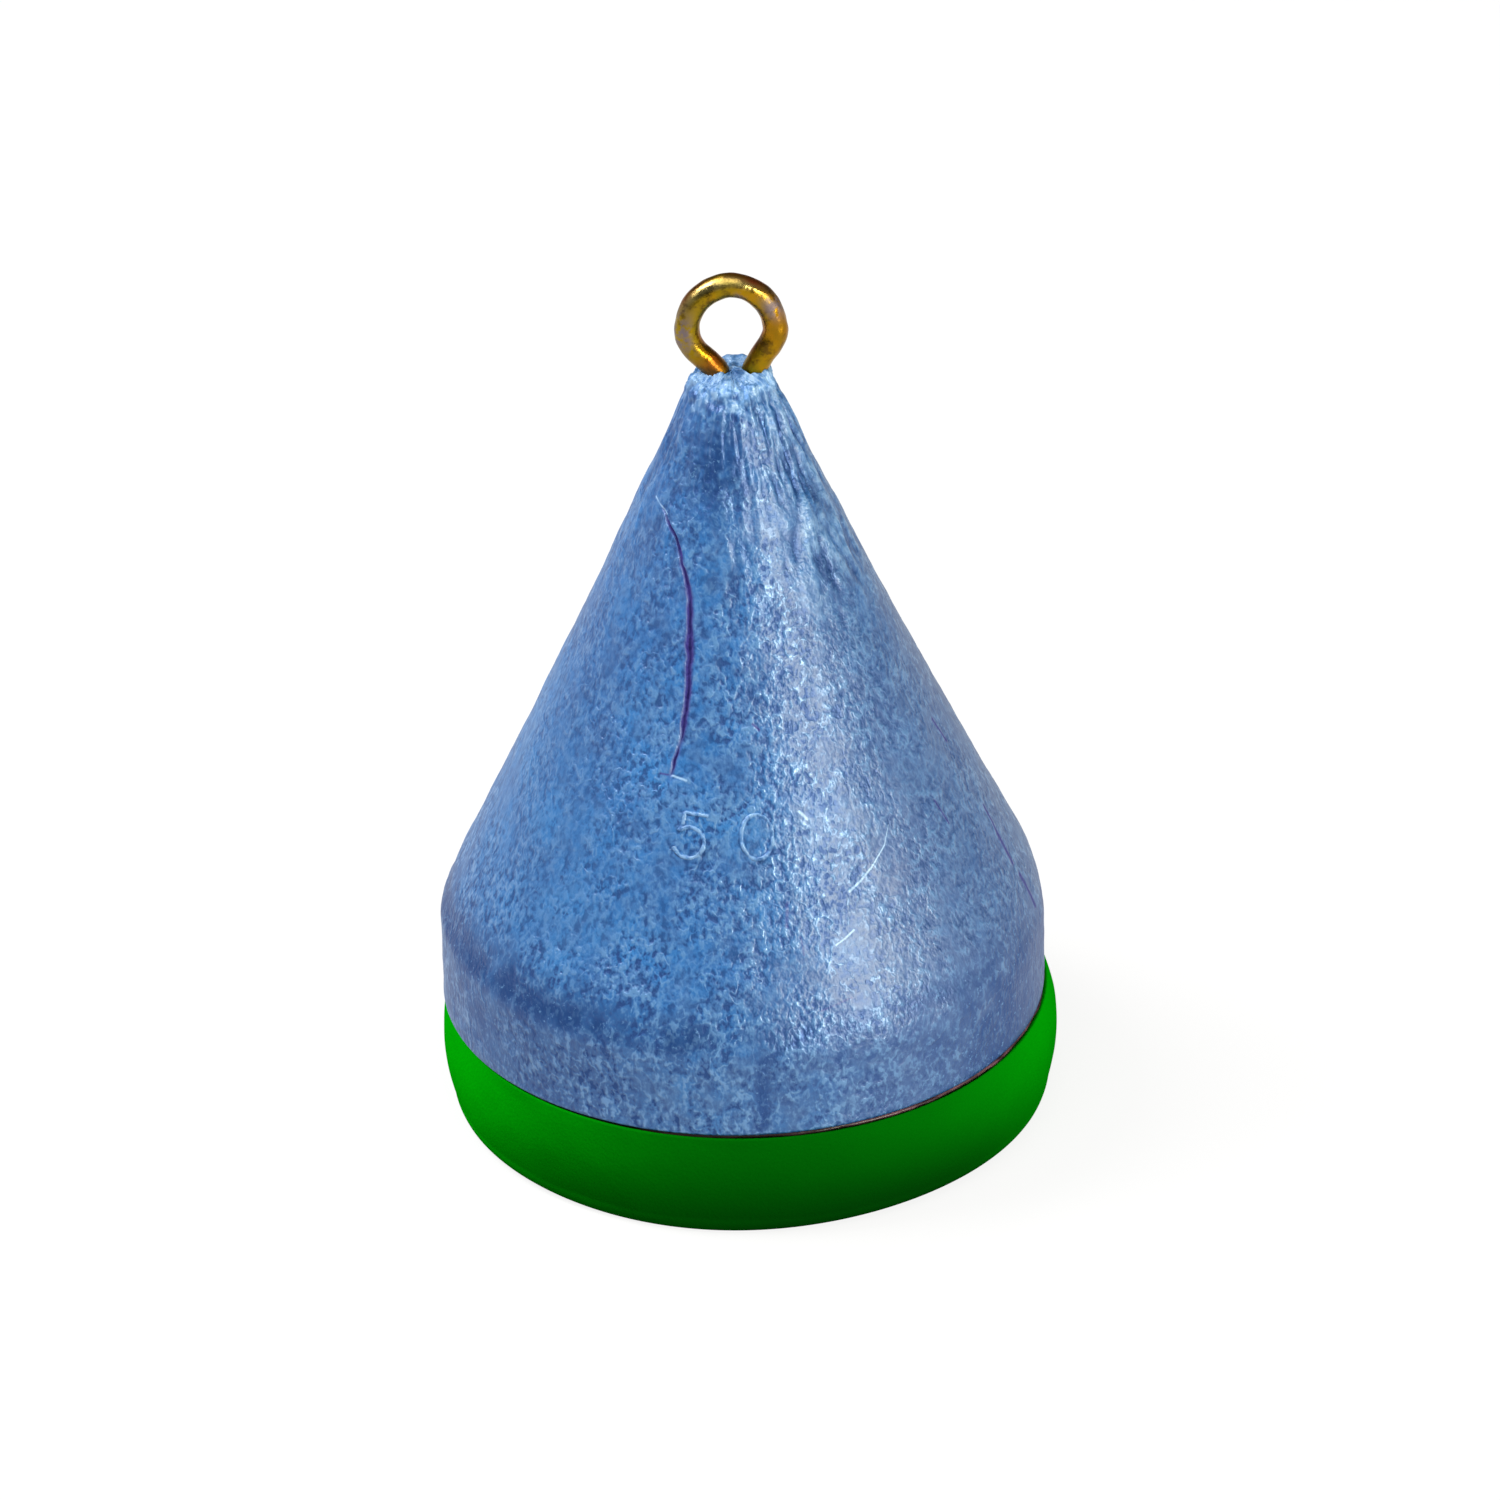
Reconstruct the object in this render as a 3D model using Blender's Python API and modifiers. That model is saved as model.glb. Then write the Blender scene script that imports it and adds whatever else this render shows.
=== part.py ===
"""A fishing plummet: a cast lead cone with a brass wire eye in its tip and a soft pad glued under it.

Lengths are metres, +Z is up and the origin is the middle of the pad's underside. The eye lies in the
XZ plane, so the line runs through it along Y.
"""

import math

import bmesh
import bpy

MM = 0.001

# Soft pad
PAD_THICKNESS = 4.0 * MM
PAD_SETBACK = 0.1 * MM           # pad's top edge inside the lead's band
PAD_SWELL = 0.28 * MM            # how far the pad's side swells on its way down
PAD_EDGE_RADIUS = 0.7 * MM       # rounding of the pad's lower edge

# Adhesive between pad and lead
GLUE_THICKNESS = 0.15 * MM
GLUE_SETBACK = 0.25 * MM         # film's edge inside the pad's top edge

# Cast lead body
BAND_RADIUS = 11.0 * MM          # straight band at the foot of the cone
BAND_HEIGHT = 3.4 * MM
CONE_HEIGHT = 21.8 * MM          # from the band's sharp upper corner to the flat tip
SHOULDER_RADIUS = 4.3 * MM       # rounding where the cone meets the band
FOOT_EDGE_RADIUS = 0.2 * MM      # rounding of the lead's lower edge
TIP_EDGE_RADIUS = 0.1 * MM
TIP_WALL = 0.19 * MM             # lead left outside each wire channel at the tip

# Wire eye
WIRE_DIAMETER = 0.92 * MM
EYE_WIDTH = 2.22 * MM            # clear width of the eye at its widest line
EYE_CROWN = 1.28 * MM            # clear height above the widest line
EYE_RISE = 1.7 * MM              # widest line above the lead's tip
EYE_CLOSE_ANGLE = math.radians(48.0)   # how far below the widest line the eye curves before its legs run in
LEG_SPACING = 1.4 * MM           # between the middles of the two legs
LEG_DEPTH = 7.0 * MM             # tip to the feet
FOOT_LENGTH = 1.6 * MM           # each leg's end, turned outwards
WIRE_BEND_RADIUS = 0.55 * MM     # middle of the wire, at each small bend

# Clearances
CAST_GAP = 0.05 * MM             # between the wire and its channel in the lead
SEAT_GAP = 0.03 * MM             # between the glue film and each face that it holds

# Fineness of the meshes
TURN_STEPS = 72
CORNER_STEPS = 5
SWELL_STEPS = 5
CROWN_STEPS = 28
SMOOTH_ANGLE = math.radians(30.0)
MERGE_DISTANCE = 0.001 * MM

# Heights and radii that follow from the sizes above
GLUE_Z = PAD_THICKNESS + SEAT_GAP
LEAD_Z = GLUE_Z + GLUE_THICKNESS + SEAT_GAP
SHOULDER_Z = LEAD_Z + BAND_HEIGHT
TIP_Z = SHOULDER_Z + CONE_HEIGHT
EYE_Z = TIP_Z + EYE_RISE
PAD_RADIUS = BAND_RADIUS - PAD_SETBACK
GLUE_RADIUS = PAD_RADIUS - GLUE_SETBACK
TIP_RADIUS = (LEG_SPACING + WIRE_DIAMETER) / 2 + CAST_GAP + TIP_WALL


def clear_scene():
    """Remove every object that the file already holds."""
    for item in list(bpy.data.objects):
        bpy.data.objects.remove(item, do_unlink=True)


def new_collection(name):
    """Return a new collection linked to the scene."""
    group = bpy.data.collections.new(name)
    bpy.context.scene.collection.children.link(group)
    return group


def new_material(name, colour, roughness, metallic):
    """Return a Principled material with the given colour, roughness and metallic value."""
    material = bpy.data.materials.new(name)
    material.use_nodes = True
    shader = material.node_tree.nodes["Principled BSDF"]
    shader.inputs["Base Color"].default_value = (*colour, 1.0)
    shader.inputs["Roughness"].default_value = roughness
    shader.inputs["Metallic"].default_value = metallic
    return material


def rounded(corners):
    """Return the (x, z) points of an outline given as (x, z, radius) corners.

    A corner with a radius is replaced by an arc that touches both of its sides.
    """
    points = []
    for index, (x, z, radius) in enumerate(corners):
        if radius == 0.0:
            points.append((x, z))
            continue
        before = math.atan2(corners[index - 1][1] - z, corners[index - 1][0] - x)
        after = math.atan2(corners[index + 1][1] - z, corners[index + 1][0] - x)
        opening = math.remainder(after - before, 2 * math.pi)
        middle = before + opening / 2
        reach = radius / math.sin(abs(opening) / 2)
        centre = (x + reach * math.cos(middle), z + reach * math.sin(middle))
        sweep = math.copysign(math.pi - abs(opening), opening)
        first = middle + math.pi + sweep / 2
        for step in range(CORNER_STEPS + 1):
            angle = first - sweep * step / CORNER_STEPS
            points.append((centre[0] + radius * math.cos(angle), centre[1] + radius * math.sin(angle)))
    return points


def frozen(source, name, group):
    """Replace an object by a plain mesh of its evaluated shape, welded and shaded, and return that."""
    depsgraph = bpy.context.evaluated_depsgraph_get()
    mesh = bpy.data.meshes.new_from_object(source.evaluated_get(depsgraph))
    shape = bmesh.new()
    shape.from_mesh(mesh)
    bmesh.ops.remove_doubles(shape, verts=shape.verts, dist=MERGE_DISTANCE)
    shape.to_mesh(mesh)
    shape.free()
    mesh.materials.clear()
    mesh.shade_smooth()
    mesh.set_sharp_from_angle(angle=SMOOTH_ANGLE)
    result = bpy.data.objects.new(name, mesh)
    result.matrix_world = source.matrix_world.copy()
    bpy.data.objects.remove(source, do_unlink=True)
    group.objects.link(result)
    return result


def turned(name, outline, group):
    """Return a solid turned about Z from (x, z) points that run from the axis, down the outside and back."""
    profile = bpy.data.meshes.new(name)
    edges = [(index, index + 1) for index in range(len(outline) - 1)]
    profile.from_pydata([(x, 0.0, z) for x, z in outline], edges, [])
    blank = bpy.data.objects.new(name + "_profile", profile)
    group.objects.link(blank)
    screw = blank.modifiers.new("turn", "SCREW")
    screw.axis = "Z"
    screw.steps = TURN_STEPS
    screw.render_steps = TURN_STEPS
    screw.use_merge_vertices = True
    screw.merge_threshold = MERGE_DISTANCE
    return frozen(blank, name, group)


def drawn_wire(name, route, radius, group):
    """Return a round wire of the given radius along a route of (x, z) points in the XZ plane."""
    curve = bpy.data.curves.new(name, "CURVE")
    curve.dimensions = "3D"
    curve.bevel_depth = radius
    curve.bevel_resolution = 2
    curve.use_fill_caps = True
    spline = curve.splines.new("POLY")
    spline.points.add(len(route) - 1)
    for point, (x, z) in zip(spline.points, route):
        point.co = (x, 0.0, z, 1.0)
    blank = bpy.data.objects.new(name + "_route", curve)
    group.objects.link(blank)
    return frozen(blank, name, group)


def wire_route(foot_length):
    """Return the middle line of the wire, from one foot over the eye to the other.

    The eye is an oval arc. Its legs leave it along its tangents, turn into two parallel runs in the lead
    and end in feet of the given length that point outwards.
    """
    across = (EYE_WIDTH + WIRE_DIAMETER) / 2
    upward = EYE_CROWN + WIRE_DIAMETER / 2
    leg_x = LEG_SPACING / 2
    foot_z = TIP_Z - LEG_DEPTH
    leaving_x = across * math.cos(EYE_CLOSE_ANGLE)
    leaving_z = EYE_Z - upward * math.sin(EYE_CLOSE_ANGLE)
    fall = (leaving_x - leg_x) * upward / (across * math.tan(EYE_CLOSE_ANGLE))
    leg = rounded([
        (leg_x + foot_length, foot_z, 0.0),
        (leg_x, foot_z, WIRE_BEND_RADIUS),
        (leg_x, leaving_z - fall, WIRE_BEND_RADIUS),
        (leaving_x, leaving_z, 0.0),
    ])
    crown = []
    for step in range(1, CROWN_STEPS):
        angle = -EYE_CLOSE_ANGLE + (math.pi + 2 * EYE_CLOSE_ANGLE) * step / CROWN_STEPS
        crown.append((across * math.cos(angle), EYE_Z + upward * math.sin(angle)))
    return leg + crown + [(-x, z) for x, z in reversed(leg)]


def pad_outline():
    """Return the pad's outline: a flat top, a side that swells as it goes down and a rounded lower edge."""
    widest = PAD_RADIUS + PAD_SWELL
    outline = [(0.0, PAD_THICKNESS)]
    for step in range(SWELL_STEPS + 1):
        share = step / SWELL_STEPS
        radius = PAD_RADIUS + PAD_SWELL * math.sin(share * math.pi / 2)
        outline.append((radius, PAD_THICKNESS - share * (PAD_THICKNESS - PAD_EDGE_RADIUS)))
    for step in range(1, CORNER_STEPS + 1):
        angle = math.pi / 2 * step / CORNER_STEPS
        inward = PAD_EDGE_RADIUS * (1 - math.cos(angle))
        outline.append((widest - inward, PAD_EDGE_RADIUS * (1 - math.sin(angle))))
    return outline + [(0.0, 0.0)]


def make_base_pad(group):
    """The soft pad that takes the hook's point."""
    pad = turned("base_pad", pad_outline(), group)
    pad.data.materials.append(new_material("pad_green", (0.0, 0.16, 0.005), 0.75, 0.0))


def make_glue_film(group):
    """The film of adhesive that holds the pad to the lead."""
    top = GLUE_Z + GLUE_THICKNESS
    outline = [(0.0, top), (GLUE_RADIUS, top), (GLUE_RADIUS, GLUE_Z), (0.0, GLUE_Z)]
    film = turned("glue_film", outline, group)
    film.data.materials.append(new_material("glue_amber", (0.20, 0.10, 0.07), 0.35, 0.0))


def make_lead_body(group, cutters):
    """The lead cone and its band, with the channel that the cast-in wire fills."""
    lead = turned("lead_body", rounded([
        (0.0, TIP_Z, 0.0),
        (TIP_RADIUS, TIP_Z, TIP_EDGE_RADIUS),
        (BAND_RADIUS, SHOULDER_Z, SHOULDER_RADIUS),
        (BAND_RADIUS, LEAD_Z, FOOT_EDGE_RADIUS),
        (0.0, LEAD_Z, 0.0),
    ]), group)
    lead.data.materials.append(new_material("lead_grey", (0.10, 0.20, 0.42), 0.5, 0.85))
    channel_route = wire_route(FOOT_LENGTH + CAST_GAP)
    channel = drawn_wire("wire_channel", channel_route, WIRE_DIAMETER / 2 + CAST_GAP, cutters)
    channel.hide_render = True
    channel.display_type = "WIRE"
    cut = lead.modifiers.new("wire_channel", "BOOLEAN")
    cut.operation = "DIFFERENCE"
    cut.solver = "EXACT"
    cut.object = channel


def make_wire_eye(group):
    """The bent wire with its legs and feet."""
    wire = drawn_wire("wire_eye", wire_route(FOOT_LENGTH), WIRE_DIAMETER / 2, group)
    wire.data.materials.append(new_material("wire_brass", (0.45, 0.26, 0.04), 0.35, 0.9))


def main():
    """Build the plummet from the pad upwards."""
    clear_scene()
    plummet = new_collection("fishing_plummet")
    cutters = new_collection("cutters")
    make_base_pad(plummet)
    make_glue_film(plummet)
    make_lead_body(plummet, cutters)
    make_wire_eye(plummet)


main()
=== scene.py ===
"""Looks of a fishing plummet: a cast lead cone with a brass wire eye and a green foam pad.

Lengths are metres in the frame's own axes: +Z up, the eye in the XZ plane, the viewer on the -Y side.
Bearings round the upright axis are measured from the viewer's side, positive to the right.
"""

import functools
import logging
import math
from dataclasses import dataclass, field
from enum import Enum
from typing import Any, ClassVar

import bpy
import numpy as np
from mathutils import Matrix, Vector


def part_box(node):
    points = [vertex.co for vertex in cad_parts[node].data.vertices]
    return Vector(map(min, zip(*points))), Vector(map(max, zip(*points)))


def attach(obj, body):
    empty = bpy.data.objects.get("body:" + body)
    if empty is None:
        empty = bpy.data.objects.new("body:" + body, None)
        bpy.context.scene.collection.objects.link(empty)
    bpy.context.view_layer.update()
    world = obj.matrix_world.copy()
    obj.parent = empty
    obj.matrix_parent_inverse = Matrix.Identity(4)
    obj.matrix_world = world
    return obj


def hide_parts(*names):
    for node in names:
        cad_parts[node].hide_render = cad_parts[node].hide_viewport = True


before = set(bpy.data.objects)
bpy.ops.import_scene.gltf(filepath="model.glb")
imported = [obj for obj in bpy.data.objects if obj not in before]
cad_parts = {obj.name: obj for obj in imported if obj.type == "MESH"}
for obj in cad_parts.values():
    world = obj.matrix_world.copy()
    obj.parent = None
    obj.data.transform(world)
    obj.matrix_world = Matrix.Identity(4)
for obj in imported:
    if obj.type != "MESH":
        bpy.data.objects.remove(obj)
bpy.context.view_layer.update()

MM = 0.001
LOG = logging.getLogger("plummet")

WAVES = 30                             # cosine waves in one ripple
WAVE_SPREAD = (0.65, 1.5)              # their wave numbers, as shares of the mean
HUB = 0.05                             # innermost ring of a flat end, as a share of its radius
NO_LENGTH = 1e-15                      # a shorter vector has no direction
LEVEL = 1e-7                           # heights that differ by less are one level
LEG_PLACES = (-0.45 * MM, 0.82 * MM)   # where the wire's legs leave the lead's tip, along X

Colour = tuple[float, float, float]
Pair = tuple[float, float]
Waves = tuple[tuple[float, float, int], ...]
Socket = bpy.types.NodeSocket


class Body(Enum):
    """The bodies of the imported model."""

    WHOLE = "root"


class Slot(Enum):
    """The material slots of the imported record."""

    LEAD = "lead"
    BRASS = "brass_wire"
    GLUE = "glue"
    PAD = "pad"


class Figure(Enum):
    """The cast figures, each with its bearing in degrees."""

    FIVE = -13.8
    NOUGHT = 3.8


# Surfaces worked out on grids


def unit(vectors: np.ndarray) -> np.ndarray:
    """Vectors brought to length 1 along the last axis."""
    return vectors / np.maximum(np.linalg.norm(vectors, axis=-1, keepdims=True), NO_LENGTH)


def ripple(points: np.ndarray, wavelength: float, seed: int) -> np.ndarray:
    """Seeded smooth noise of unit spread: a sum of plane cosine waves in random directions.

    Args:
        points: Places to read, with x, y and z on the last axis.
        wavelength: Mean length of the waves in metres.
        seed: Seed of the directions and phases.

    Returns:
        One value for each point.
    """
    rng = np.random.default_rng(seed)
    direction = unit(rng.normal(size=(WAVES, 3)))
    number = direction * rng.uniform(*WAVE_SPREAD, (WAVES, 1)) * (2 * math.pi / wavelength)
    phase = rng.uniform(0, 2 * math.pi, WAVES)
    return np.cos(points @ number.T + phase).sum(-1) * math.sqrt(2 / WAVES)


def uneven(points: np.ndarray, waves: Waves) -> np.ndarray:
    """Sum of ripples, each given by its height, wavelength and seed."""
    return sum(height * ripple(points, wavelength, seed) for height, wavelength, seed in waves)


def bell(distance: np.ndarray, width: np.ndarray | float) -> np.ndarray:
    """Gaussian bump: 1 at distance 0, falling to about a third at the given width."""
    return np.exp(-np.square(distance / width))


def ease(value: np.ndarray, low: np.ndarray | float, high: np.ndarray | float) -> np.ndarray:
    """Smooth step: 0 at low, 1 at high, with level ends."""
    share = np.clip((value - low) / (high - low), 0.0, 1.0)
    return share * share * (3 - 2 * share)


@dataclass(frozen=True)
class Sector:
    """A stretch round an axis: its middle and half width in degrees, and the strength of what lies there."""

    middle: float
    half_width: float
    strength: float = 1.0

    def at(self, angle: np.ndarray) -> np.ndarray:
        """Strength at angles in radians: a Gaussian bump round the middle."""
        return self.strength * bell(angle - math.radians(self.middle), math.radians(self.half_width))


def bearings(columns: int) -> np.ndarray:
    """Even bearings once round the axis, from behind."""
    return np.linspace(-math.pi, math.pi, columns, endpoint=False)


def turned(
    radius: np.ndarray, bearing: np.ndarray, z: np.ndarray, aside: np.ndarray | float = 0.0
) -> np.ndarray:
    """Points round the upright axis: x is aside + radius sin(bearing), y is -radius cos(bearing)."""
    return np.stack(np.broadcast_arrays(radius * np.sin(bearing) + aside, -radius * np.cos(bearing), z), -1)


def run_lengths(corners: np.ndarray) -> np.ndarray:
    """Length of a line of points up to each of them."""
    return np.concatenate([[0], np.cumsum(np.linalg.norm(np.diff(corners, axis=0), axis=1))])


def evenly(corners: np.ndarray, count: int) -> np.ndarray:
    """Walk along a line of points in equal steps.

    Args:
        corners: Points of the line as (m, 2).
        count: How many points to return.

    Returns:
        Points as (count, 2), from the line's start to its end.
    """
    run = run_lengths(corners)
    even = np.linspace(0, run[-1], count)
    return np.stack([np.interp(even, run, axis) for axis in corners.T], -1)


def grid_normals(rings: np.ndarray) -> np.ndarray:
    """Unit normals of a grid of closed rings: the cross product of its two central differences.

    Args:
        rings: Points as (ring, place round it, xyz).

    Returns:
        Normals in the same layout, outward where the rings run downwards and anticlockwise seen from above.
    """
    along = np.gradient(rings, axis=0)
    round_it = np.roll(rings, -1, axis=1) - np.roll(rings, 1, axis=1)
    return unit(np.cross(along, round_it))


def skin(
    name: str, rings: np.ndarray, looped: bool = False, marks: dict[str, np.ndarray] | None = None
) -> bpy.types.Object:
    """Join a grid of points into one closed mesh with its faces outwards.

    Neighbouring rings are joined by quads. A looped grid joins its last ring to its first, and any other is
    closed at each end by a fan of triangles to the middle of its end ring.

    Args:
        name: Name of the new object.
        rings: Points as (ring, place round it, xyz).
        looped: Whether the rings themselves form a closed loop.
        marks: Named values for each point of the grid, kept as mesh attributes.

    Returns:
        The new object, linked to the scene.
    """
    count, around = rings.shape[:2]
    index = np.arange(count * around).reshape(count, around)
    upper = index if looped else index[:-1]
    lower = np.roll(index, -1, axis=0) if looped else index[1:]
    quads = np.stack([upper, lower, np.roll(lower, -1, axis=1), np.roll(upper, -1, axis=1)], -1)
    quads = quads.reshape(-1, 4)
    points = rings.reshape(-1, 3)
    fans = np.empty((0, 3), int)
    if not looped:
        points = np.concatenate([points, rings[[0, -1]].mean(1)])
        first, last = index[0], index[-1]
        top = np.stack([np.full(around, count * around), first, np.roll(first, -1)], -1)
        bottom = np.stack([np.full(around, count * around + 1), np.roll(last, -1), last], -1)
        fans = np.concatenate([top, bottom])
    corner = points[np.concatenate([quads[:, :3], quads[:, [0, 2, 3]], fans])]
    volume = np.einsum("ij,ij->i", corner[:, 0], np.cross(corner[:, 1], corner[:, 2])).sum()
    if volume < 0:
        quads, fans = quads[:, ::-1], fans[:, ::-1]
    loops = np.concatenate([quads.ravel(), fans.ravel()])
    sides = np.concatenate([np.full(len(quads), 4), np.full(len(fans), 3)])
    starts = np.concatenate([[0], np.cumsum(sides)[:-1]])
    mesh = bpy.data.meshes.new(name)
    mesh.vertices.add(len(points))
    mesh.vertices.foreach_set("co", points.astype(np.float32).ravel())
    mesh.loops.add(len(loops))
    mesh.loops.foreach_set("vertex_index", loops.astype(np.int32))
    mesh.polygons.add(len(sides))
    mesh.polygons.foreach_set("loop_start", starts.astype(np.int32))
    for mark, values in (marks or {}).items():
        flat = values.ravel() if looped else np.append(values.ravel(), values[[0, -1]].mean(1))
        mesh.attributes.new(mark, "FLOAT", "POINT").data.foreach_set("value", flat.astype(np.float32))
    mesh.update(calc_edges=True)
    mesh.validate()
    mesh.shade_smooth()
    piece = bpy.data.objects.new(name, mesh)
    bpy.context.scene.collection.objects.link(piece)
    return piece


def sweep(path: np.ndarray, across: np.ndarray, outward: np.ndarray, section: np.ndarray) -> np.ndarray:
    """Carry a flat section along a path: each ring is the path point plus the section along two directions.

    Args:
        path: Points of the path as (n, 3).
        across: Unit direction of the section's first axis at each point.
        outward: Unit direction of the section's second axis at each point.
        section: The section's points as (m, 2).

    Returns:
        Rings as (n, m, 3).
    """
    return path[:, None] + section[:, :1] * across[:, None] + section[:, 1:] * outward[:, None]


def round_section(sides: int) -> np.ndarray:
    """Points of a unit circle, anticlockwise."""
    angle = np.linspace(0, 2 * math.pi, sides, endpoint=False)
    return np.stack([np.cos(angle), np.sin(angle)], -1)


def settle(piece: bpy.types.Object, slot: Slot, material: bpy.types.Material, *nodes: str) -> None:
    """Dress a new piece, attach it to its body and hide the solids that it stands for.

    Args:
        piece: The piece.
        slot: The record's slot that its finish belongs to. Not used.
        material: Its material.
        nodes: The solids that it stands for.
    """
    piece.data.materials.append(material)
    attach(piece, Body.WHOLE.value)
    if nodes:
        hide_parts(*nodes)


# Sub-assemblies


@dataclass(frozen=True)
class Places:
    """Points of the casting with their heights and bearings."""

    points: np.ndarray
    height: np.ndarray
    bearing: np.ndarray

    @property
    def reach(self) -> np.ndarray:
        """Distance of each point from the upright axis."""
        return np.hypot(self.points[..., 0], self.points[..., 1])


@dataclass(frozen=True)
class Crack:
    """The cold crack at the cone's left front: a narrow groove with low lips and a dark stain.

    Its line is given by heights in millimetres and bearings in degrees.
    """

    heights: tuple[float, ...] = (16.4, 17.4, 18.7, 19.7, 21.1, 22.2, 22.9, 23.9, 24.4, 24.8, 25.4)
    turns: tuple[float, ...] = (-22.0, -19.8, -18.6, -18.7, -20.1, -21.9, -24.3, -32.2, -37.5, -44.5, -66.0)
    smoothing: float = 0.5 * MM
    smoothing_steps: int = 9
    foot: Pair = (16.2 * MM, 17.1 * MM)
    head: Pair = (24.5 * MM, 25.2 * MM)
    width: float = 0.066 * MM
    end_share: float = 0.85
    middle_share: float = 0.7
    middle_z: float = 21 * MM
    middle_reach: float = 2.2 * MM
    depth: float = 0.16 * MM
    wander: Waves = ((0.018 * MM, 0.9 * MM, 17), (0.014 * MM, 0.45 * MM, 24))
    gape: float = 0.8
    gape_waves: Waves = ((0.2, 1.4 * MM, 18),)
    lip_height: float = 0.012 * MM
    lip_away: float = 2.4
    lip_spread: float = 1.8
    stain_spread: float = 1.35
    stain_strength: float = 1.6

    def line(self, z: np.ndarray) -> np.ndarray:
        """Bearing of the crack at each height: its points joined by a line and smoothed by a running mean.

        Args:
            z: Heights.

        Returns:
            The bearing at each height.
        """
        heights, turns = np.array(self.heights) * MM, np.radians(self.turns)
        shifts = np.linspace(-self.smoothing, self.smoothing, self.smoothing_steps)
        return np.mean([np.interp(z + shift, heights, turns) for shift in shifts], axis=0)

    def relief(self, at: Places) -> tuple[np.ndarray, np.ndarray]:
        """Groove across the line: a Gaussian that wanders a little and is widest in the crack's middle.

        Args:
            at: Points of the casting.

        Returns:
            The relief at each point, outward positive, and the darkness of the stain.
        """
        away = at.reach * np.angle(np.exp(1j * (at.bearing - self.line(at.height))))
        wandered = away + uneven(at.points, self.wander)
        gape = ease(at.height, *self.foot) * (1 - ease(at.height, *self.head))
        gape = gape * (self.gape + uneven(at.points, self.gape_waves))
        swelling = self.middle_share * bell(at.height - self.middle_z, self.middle_reach)
        width = self.width * (self.end_share + swelling)
        groove = self.depth * bell(wandered, width)
        beside = np.abs(away) - self.lip_away * self.width
        lips = self.lip_height * bell(beside, self.lip_spread * self.width)
        stain = self.stain_strength * bell(wandered, self.stain_spread * width) * gape
        return (lips - groove) * gape, np.clip(stain, 0, 1)


@dataclass(frozen=True)
class Crease:
    """The worn crease above the band, the mould seam below it, and painted shade along the crease and on the
    band below it.
    """

    shoulder_z: float
    rise: float = 0.60 * MM
    tilt: float = 0.12 * MM
    width: float = 0.42 * MM
    depth: float = 0.045 * MM
    least: float = 0.4
    left_gain: float = 0.6
    left_start: Pair = (-0.05, 0.3)
    right_gain: Sector = Sector(52, 14, 0.45)
    seam_bearing: float = 3.0
    seam_turn: float = 9.0
    seam_bend: Pair = (-0.4 * MM, 0.7 * MM)
    seam_width: float = 0.34 * MM
    seam_end: float = 0.5 * MM
    seam_depth: float = 0.02 * MM
    left_side: Pair = (0.25, 0.9)
    right_side: Pair = (0.5, 0.95)
    # From here to band_top: the painted shade along the crease and on the band below it.
    stain: float = 0.8
    shade_left: float = 0.15
    stain_waves: Waves = ((0.17, 2.4 * MM, 19), (0.13, 0.9 * MM, 23))
    shade_drop: float = 0.15 * MM
    shade_width: float = 0.65 * MM
    shade_left_width: float = 0.45 * MM
    band_shade: float = 0.35
    band_left: float = 0.2
    band_right: float = 0.8
    band_top: float = 0.8 * MM

    def line(self, bearing: np.ndarray) -> np.ndarray:
        """Height of the crease at each bearing."""
        return self.shoulder_z + self.rise + self.tilt * np.sin(bearing)

    def worn(self, bearing: np.ndarray) -> np.ndarray:
        """How plain the crease is at each bearing: most at the left, with a second stretch at the right."""
        return self.least + self.left_gain * ease(-bearing, *self.left_start) + self.right_gain.at(bearing)

    def seam(self, at: Places) -> np.ndarray:
        """Seam down the band's front: a Gaussian across a line that bends to the right at the shoulder.

        Args:
            at: Points of the casting.

        Returns:
            The seam's strength at each point.
        """
        low, high = (self.shoulder_z + bend for bend in self.seam_bend)
        line = math.radians(self.seam_bearing) + math.radians(self.seam_turn) * ease(at.height, low, high)
        crease_z = self.line(at.bearing)
        across = bell(at.reach * (at.bearing - line), self.seam_width)
        return across * (1 - ease(at.height, crease_z, crease_z + self.seam_end))

    def painted_shade(self, at: Places) -> np.ndarray:
        """Painted shade: a Gaussian along the crease, or a level share of the band below it, broken by
        noise.

        Args:
            at: Points of the casting.

        Returns:
            The strength of the painted shade at each point.
        """
        across = np.sin(at.bearing)
        left, right = ease(-across, *self.left_side), ease(across, *self.right_side)
        patchy = self.stain + self.shade_left * left + uneven(at.points, self.stain_waves)
        above = at.height - self.line(at.bearing)
        broad = bell(above + self.shade_drop, self.shade_width + self.shade_left_width * left)
        below = self.band_shade + self.band_left * left + self.band_right * right
        below = below * (1 - ease(above, -self.band_top, 0.0))
        return patchy * np.maximum(broad * self.worn(at.bearing), below)


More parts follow.
